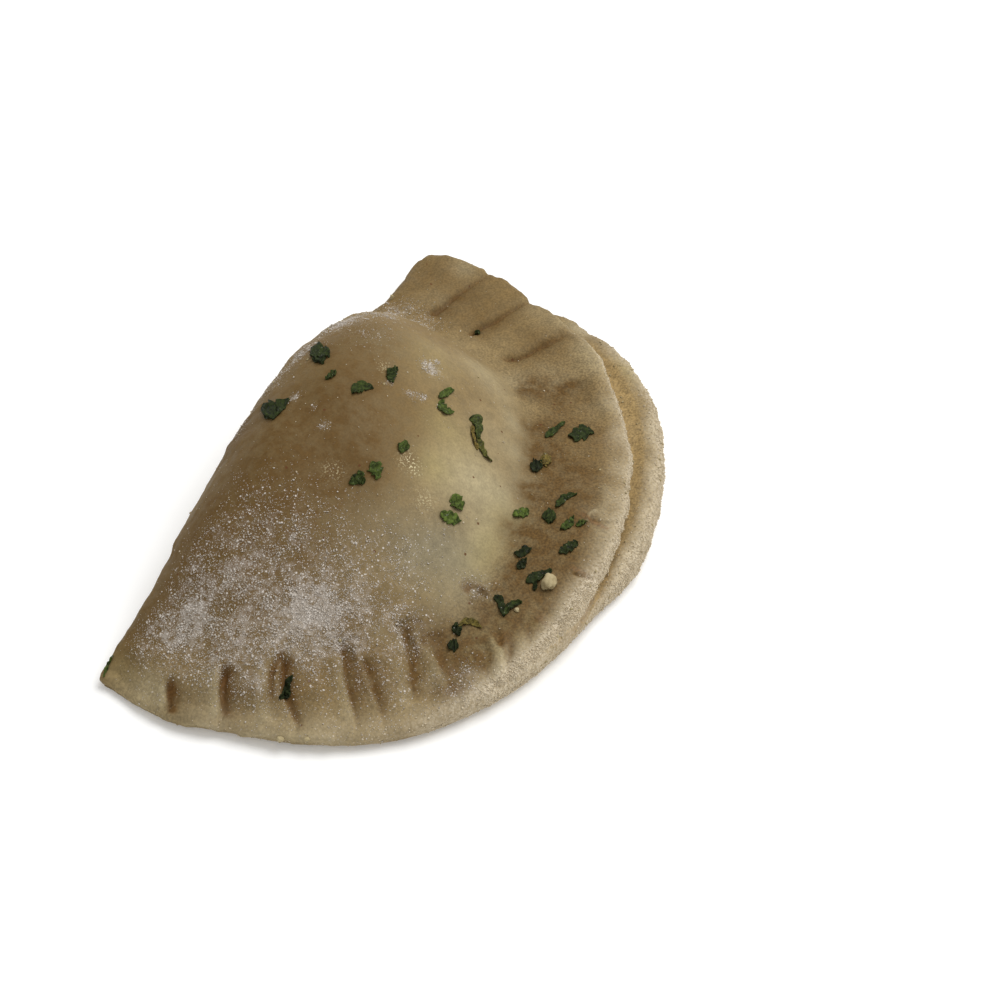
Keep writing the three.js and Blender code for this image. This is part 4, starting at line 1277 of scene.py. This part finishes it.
# Leaves as the camera sees them: strokes of (column, row, half width) in pixels, tint and straw share
LEAVES = [
    ([(311, 357, 3), (318, 352, 7), (327, 354, 5), (329, 358, 2)], 0.25, 0),
    ([(314, 362, 3), (320, 358, 6), (324, 364, 3)], 0.2, 0),
    ([(326, 380, 1), (331, 376, 3), (336, 372, 2.5)], 0.35, 0),
    ([(352, 394, 2), (356, 389, 6), (363, 387, 4), (369, 388, 2.4), (373, 389, 1)], 0.35, 0),
    ([(387, 370, 3), (391, 373, 5), (391, 379, 4), (393, 383, 2)], 0.3, 0),
    ([(391, 373, 3), (397, 369, 2.5)], 0.3, 0),
    ([(262, 410, 4), (270, 411, 9), (278, 409, 6), (284, 404, 3.2), (290, 400, 2)], 0.22, 0),
    ([(266, 419, 3), (271, 413, 7), (264, 405, 3)], 0.18, 0),
    ([(438, 398, 2.5), (443, 395, 3.6), (448, 392, 3.2), (453, 391, 2)], 0.65, 0),
    ([(440, 401, 3), (441, 407, 4), (446, 412, 3.6), (453, 413, 1.6)], 0.6, 0),
    ([(469, 419, 2.6), (476, 420, 4.8), (478, 429, 3.8), (477, 439, 3)], 0.4, 0.05),
    ([(477, 438, 2.8), (480, 447, 2.2), (485, 456, 1.8), (491, 462, 1)], 0.5, 0.25),
    ([(471, 426, 1), (472, 434, 1.6), (474, 443, 1.4), (477, 450, 0.9)], 0.6, 0.8),
    ([(398, 444, 2), (402, 447, 6), (409, 448, 2)], 0.55, 0),
    ([(372, 462, 3), (375, 468, 7.5), (377, 475, 4.5), (376, 480, 2)], 0.6, 0),
    ([(349, 484, 2), (356, 480, 5), (360, 475, 4), (358, 471, 1.5)], 0.4, 0),
    ([(357, 480, 3), (365, 482, 3.4)], 0.35, 0),
    ([(449, 501, 2), (454, 500, 6), (459, 506, 5), (461, 511, 2)], 0.8, 0),
    ([(440, 513, 4), (447, 517, 5.5), (454, 520, 5.5), (460, 521, 2)], 0.85, 0),
    ([(545, 438, 2), (550, 434, 3.8), (556, 430, 3), (560, 426, 1.5), (565, 423, 1.6)], 0.4, 0),
    ([(568, 436, 3), (574, 436, 6), (581, 434, 6.8), (587, 433, 6), (590, 433, 3.4), (594, 434, 1)], 0.25, 0),
    ([(530, 466, 2), (534, 467, 6.6), (538, 466, 5.6), (542, 463, 2)], 0.02, 0),
    ([(540, 463, 3), (546, 461, 6), (551, 463, 4)], 0.5, 0.75),
    ([(556, 508, 2.6), (560, 503, 4), (564, 499, 3), (570, 496, 1.8), (577, 495, 1)], 0.3, 0),
    ([(513, 516, 3.5), (518, 514, 4.2), (524, 513.5, 4.2), (529, 513, 3)], 0.95, 0),
    ([(542, 517, 2.5), (549, 517, 6.5), (556, 518, 5)], 0.3, 0),
    ([(549, 518, 5), (552, 523, 3)], 0.25, 0),
    ([(560, 530, 1.2), (565, 527, 3.4), (570, 524, 3.4), (573, 517, 1.4)], 0.5, 0),
    ([(576, 526, 2), (581, 524, 2.4), (587, 521, 1)], 0.55, 0),
    ([(559, 554, 3), (565, 550, 5), (572, 546, 4.4), (578, 544, 2.4)], 0.2, 0),
    ([(514, 553, 2), (520, 555, 3.6), (526, 551, 3.8), (532, 549, 2)], 0.05, 0),
    ([(517, 569, 2), (522, 565, 4.2), (526, 559, 2)], 0.05, 0),
    ([(526, 583, 2.4), (533, 579, 5.6), (541, 575, 4.4), (547, 573, 2.4), (552, 571, 2.2)], 0.18, 0),
    ([(533, 587, 3), (537, 588, 3.2)], 0.1, 0),
    ([(494, 597, 3.6), (500, 601, 3.4), (502, 608, 3.2), (504, 617, 2)], 0.12, 0),
    ([(504, 616, 2), (508, 608, 3.4), (514, 604, 3.4), (522, 603, 1.4)], 0.3, 0),
    ([(458, 627, 1.4), (464, 622, 3), (472, 622, 3), (478, 626, 2), (482, 629, 1)], 0.6, 0.62),
    ([(452, 628, 3.4), (457, 629, 5), (461, 627, 3)], 0.1, 0),
    ([(457, 631, 3), (459, 636, 2)], 0.08, 0),
    ([(448, 645, 4.2), (453, 646, 5.6), (458, 645, 4.6)], 0.08, 0),
    ([(279, 699, 2), (284, 695, 3.4), (288, 688, 3), (289, 681, 2.6), (293, 676, 2)], 0.12, 0),
    ([(284, 699, 1.6), (289, 696, 1.8), (290, 690, 1.4)], 0.12, 0),
    ([(474, 333, 2), (477, 332.6, 2.4), (480, 334, 1.6)], 0.3, 0),
    ([(104, 677, 0.6), (107, 670, 0.9), (110, 663, 0.8), (114, 656, 0.4)], 0.6, 0),
]
LEAF_STEPS, LEAF_WIDTHS = 24, 9
LEAF_SEED = 100
LEAST_LIFT = 0.12  # of the curl, so that no leaf sinks into the dough
TINT_STRAY = 0.04


class EMPANADA_OT_parsley(bpy.types.Operator):
    """Lays the flakes of dried parsley on the dough"""

    bl_idname = "empanada.parsley"
    bl_label = "Parsley"
    bl_options = {"REGISTER", "UNDO"}

    def leaf(self, settings, surface, index, strokes, tint, straw):
        rng = np.random.default_rng(LEAF_SEED + index)
        stroke = np.array(strokes, float)
        walk = np.concatenate([[0], np.cumsum(np.hypot(*np.diff(stroke[:, :2], axis=0).T))])
        at = np.linspace(0, walk[-1], LEAF_STEPS)
        middle = np.stack([np.interp(at, walk, stroke[:, i]) for i in (0, 1)], 1)
        middle[1:-1] = (middle[:-2] + 2 * middle[1:-1] + middle[2:]) / 4
        half = np.interp(at, walk, stroke[:, 2])
        along = np.gradient(middle, axis=0)
        along /= np.linalg.norm(along, axis=1, keepdims=True)
        across = np.stack([-along[:, 1], along[:, 0]], 1)
        taper = np.sqrt(np.clip(1 - np.abs(np.linspace(-1, 1, LEAF_STEPS)) ** 4, 0.05, 1))
        phase = rng.uniform(0, 6.3, 6)
        deselect_all()
        bpy.ops.mesh.primitive_grid_add(x_subdivisions=LEAF_STEPS - 1, y_subdivisions=LEAF_WIDTHS - 1, size=2)
        leaf = added(f"leaf{index:02d}")
        flat = vertex_places(leaf.data)
        i = np.rint((flat[:, 0] + 1) / 2 * (LEAF_STEPS - 1)).astype(int)
        v = flat[:, 1]
        teeth = (rng.uniform(0.09, 0.2, (2, 1)) * np.arange(LEAF_STEPS) + phase[:2, None]) % 1
        lobes = 1.25 - rng.uniform(0.35, 0.65) * teeth * rng.uniform(0.75, 1, (2, LEAF_STEPS))
        frill = lerp(1, lobes[(v > 0).astype(int), i], ease(np.abs(v), 0.2, 0.95))
        pixels = middle[i] + across[i] * (v * half[i] * taper[i] * frill)[:, None]
        places = np.empty_like(flat)
        for k, pixel in enumerate(pixels):
            place, normal = seen_at(pixel, surface)
            lift = 0.32 + 0.35 * abs(v[k]) + 0.4 * v[k] * np.sin(0.24 * i[k] + phase[2])
            lift += 0.3 * np.sin(0.8 * i[k] + phase[3] + 1.6 * v[k])
            places[k] = place + normal * settings.curl / MM * max(lift, LEAST_LIFT)
        place_vertices(leaf.data, places * MM)
        in_edit_mode((bpy.ops.mesh.normals_make_consistent, {"inside": False}))
        solidify = leaf.modifiers.new("thickness", "SOLIDIFY")
        solidify.thickness = settings.thickness
        solidify.offset = 0
        bpy.ops.object.modifier_apply(modifier=solidify.name)
        count = len(leaf.data.vertices)
        write_attribute(leaf.data, "tint", np.clip(tint + rng.normal(0, TINT_STRAY, count), 0, 1))
        write_attribute(leaf.data, "straw", np.full(count, straw))
        return leaf

    def execute(self, context):
        settings = context.scene.empanada_parsley
        surface = surface_of(bpy.data.objects["dough"])
        leaves = [self.leaf(settings, surface, i, *leaf) for i, leaf in enumerate(LEAVES)]
        parsley = joined(context, leaves, "parsley")
        finish_piece(parsley, leaf_material(settings))
        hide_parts(NODE)
        return {"FINISHED"}


class EMPANADA_OT_flour(bpy.types.Operator):
    """Scatters the loose flour and the grains that stick to the rim"""

    bl_idname = "empanada.flour"
    bl_label = "Flour"
    bl_options = {"REGISTER", "UNDO"}

    def execute(self, context):
        settings = context.scene.empanada_flour
        dough = bpy.data.objects["dough"].data
        places = vertex_places(dough) / MM
        normals = vertex_normals(dough)
        upward = ease(normals[:, 2], -0.3, 0.3)
        values = {}
        for name in ("flour", "frost", "groove", "fringe"):
            values[name] = np.empty(len(places), dtype=np.float32)
            dough.attributes[name].data.foreach_get("value", values[name])
        broad, small = (lumps(places, size, seed) for size, seed in zip((2.6, 1.1), DRIFT_SEEDS))
        drifts = ease(broad, 0.25, 0.8) * ease(small, 0.2, 0.75)
        dust = values["flour"] ** 1.3 * (0.5 + drifts) * upward
        clumps = values["flour"] ** 1.8 * (0.2 + drifts**1.6) * upward
        off_floor = ease(places[:, 2], 0.4, 1)
        rim = values["frost"] ** 2 * (0.3 + 4 * values["fringe"] ** 2) + STRAY_RIM_GRAINS
        rim = rim * off_floor * (1 - 0.85 * values["groove"])
        dust, clumps = (density * off_floor for density in (dust, clumps))
        material = crumb_material("flour grains", settings.colour, settings.second_colour, 1.3)
        rim_material = crumb_material("rim grains", settings.rim_colour, settings.rim_second_colour, 1.3)
        seed = settings.seed
        for name, density, count, sizes, subdivisions in (
            ("flour_dust", dust, settings.dust_grains, DUST_SIZES, 0),
            ("flour_clumps", clumps, settings.clump_grains, CLUMP_SIZES, 1),
            ("rim_grains", rim, settings.rim_grains, RIM_GRAIN_SIZES, 0),
        ):
            seed += 1
            piece = scatter_grains(name, dough, density, count, sizes, subdivisions, seed)
            finish_piece(piece, rim_material if density is rim else material, smooth=subdivisions > 0)
        return {"FINISHED"}


# Crumbs as the camera sees them: column and row, width and height in millimetres
CRUMBS = [
    (549, 585, 2.4, 1.7), (517, 611, 0.8, 0.5), (281, 738, 0.9, 0.7), (307, 739, 0.7, 0.5),
    (392, 299, 0.6, 1.0), (340, 640, 0.5, 0.3), (600, 470, 0.3, 0.2), (384, 384, 0.4, 0.2),
    (391, 382, 0.4, 0.2),
]
SHARDS = 420
SHARD_SEED = 77


class EMPANADA_OT_crumbs(bpy.types.Operator):
    """Lays the crumbs of dough on the empanada"""

    bl_idname = "empanada.crumbs"
    bl_label = "Crumbs"
    bl_options = {"REGISTER", "UNDO"}

    def execute(self, context):
        settings = context.scene.empanada_crumbs
        dough = bpy.data.objects["dough"]
        surface = surface_of(dough)
        crumbs = []
        for index, (column, row, width, height) in enumerate(CRUMBS):
            middle, normal = seen_at((column, row), surface)
            deselect_all()
            bpy.ops.mesh.primitive_ico_sphere_add(subdivisions=4 if width > 1.5 else 3, radius=0.5)
            crumb = added(f"crumb{index:02d}")
            ball = vertex_places(crumb.data)
            broad, small = (swell(ball + index, size, seed) for size, seed in zip((0.45, 0.2), CRUMB_SEEDS))
            bulge = 1 + 0.7 * broad + 0.35 * small
            shaped = ball * bulge[:, None] * [width, width * 0.8, height]
            tilt = Vector((0, 0, 1)).rotation_difference(Vector(normal)).to_matrix()
            turned = shaped @ np.array(Matrix.Rotation(0.9 * index, 3, "Z")).T @ np.array(tilt).T
            place_vertices(crumb.data, (turned + middle + normal * height * 0.32) * MM)
            crumbs.append(crumb)
        piece = joined(context, crumbs, "crumbs")
        finish_piece(piece, crumb_material("dough crumbs", settings.colour, settings.second_colour, 0.9))

        places = vertex_places(dough.data) / MM
        plan, out, share = rim_walk(places)
        low = ease(out, upper_leaf_at(share) - 1.5, upper_leaf_at(share) + 0.3) * (plan[:, 1] < -1)
        fold_end = bell((plan[:, 0] - 16) / 13) * ease(plan[:, 1], -10, -2) * ease(places[:, 2], 4, 8)
        density = low + 0.9 * fold_end + STRAY_SHARDS
        shards = scatter_grains("dough_shards", dough.data, density, SHARDS, SHARD_SIZES, 1, SHARD_SEED)
        finish_piece(shards, piece.data.materials[0])
        return {"FINISHED"}


KEY_FROM = (0.42, -0.25, 0.87)
KEY_DISTANCE, KEY_SIZE = 0.8, 0.7  # in metres, as the floor's size
FLOOR_SIZE = 6
FLOOR_CLOUDS = 60  # in millimetres
CLIP_START = 0.01


class EMPANADA_OT_stage(bpy.types.Operator):
    """Sets the floor, the lights and the camera"""

    bl_idname = "empanada.stage"
    bl_label = "Stage"
    bl_options = {"REGISTER", "UNDO"}

    def execute(self, context):
        settings = context.scene.empanada_stage
        deselect_all()
        bpy.ops.mesh.primitive_plane_add(size=FLOOR_SIZE)
        floor = added("floor")
        material, tree, shader = principled("pale floor")
        vector = object_vector(tree)
        shaded = [channel * 0.985 for channel in settings.floor_colour]
        inputs = {
            "Base Color": blend(tree, noise(tree, vector, FLOOR_CLOUDS), shaded, settings.floor_colour),
            "Roughness": 0.9,
            "Specular IOR Level": 0.2,
            "Emission Color": (1, 0.99, 0.97, 1),
            "Emission Strength": settings.floor_glow,
        }
        for name, setting in inputs.items():
            set_input(tree, shader, name, setting)
        floor.data.materials.append(material)

        world = bpy.data.worlds.new("soft surround")
        world.use_nodes = True
        background = world.node_tree.nodes["Background"]
        background.inputs["Color"].default_value = (1, 1, 1, 1)
        background.inputs["Strength"].default_value = settings.fill_strength
        context.scene.world = world

        toward = Vector(KEY_FROM).normalized()
        bpy.ops.object.light_add(type="AREA", location=toward * KEY_DISTANCE)
        key = bpy.context.object
        key.name = "key_light"
        key.rotation_euler = toward.to_track_quat("Z", "Y").to_euler()
        key.data.shape = "DISK"
        key.data.size = KEY_SIZE
        key.data.energy = settings.key_power

        stand, right, up, back = camera_axes()
        bpy.ops.object.camera_add()
        camera = bpy.context.object
        camera.name = "camera"
        rows = [(right[i], up[i], back[i], stand[i] * MM) for i in range(3)]
        camera.matrix_world = Matrix((*rows, (0, 0, 0, 1)))
        camera.data.sensor_width = SENSOR
        camera.data.lens = FOCAL_PIXELS / PICTURE * SENSOR
        camera.data.clip_start = CLIP_START
        context.scene.camera = camera
        context.scene.view_settings.view_transform = "Standard"
        return {"FINISHED"}


class EMPANADA_PT_panel(bpy.types.Panel):
    bl_label = "Empanada"
    bl_idname = "EMPANADA_PT_panel"
    bl_space_type = "VIEW_3D"
    bl_region_type = "UI"
    bl_category = "Empanada"

    def draw(self, context):
        for operator, settings in STEPS:
            box = self.layout.box()
            box.operator(operator.bl_idname)
            group = getattr(context.scene, settings)
            for name in group.bl_rna.properties.keys():
                if name not in ("rna_type", "name"):
                    box.prop(group, name)


SETTINGS = {
    "empanada_dough": DoughSettings,
    "empanada_parsley": ParsleySettings,
    "empanada_flour": FlourSettings,
    "empanada_crumbs": CrumbSettings,
    "empanada_stage": StageSettings,
}
STEPS = [
    (EMPANADA_OT_stage, "empanada_stage"),
    (EMPANADA_OT_dough, "empanada_dough"),
    (EMPANADA_OT_parsley, "empanada_parsley"),
    (EMPANADA_OT_flour, "empanada_flour"),
    (EMPANADA_OT_crumbs, "empanada_crumbs"),
]
CLASSES = [*SETTINGS.values(), *(operator for operator, _ in STEPS), EMPANADA_PT_panel]


def register():
    for cls in CLASSES:
        bpy.utils.register_class(cls)
    for name, settings in SETTINGS.items():
        setattr(bpy.types.Scene, name, PointerProperty(type=settings))


def unregister():
    for name in SETTINGS:
        delattr(bpy.types.Scene, name)
    for cls in reversed(CLASSES):
        bpy.utils.unregister_class(cls)


def main():
    register()
    for operator, _ in STEPS:
        group, name = operator.bl_idname.split(".")
        getattr(getattr(bpy.ops, group), name)()


if __name__ == "__main__":
    main()
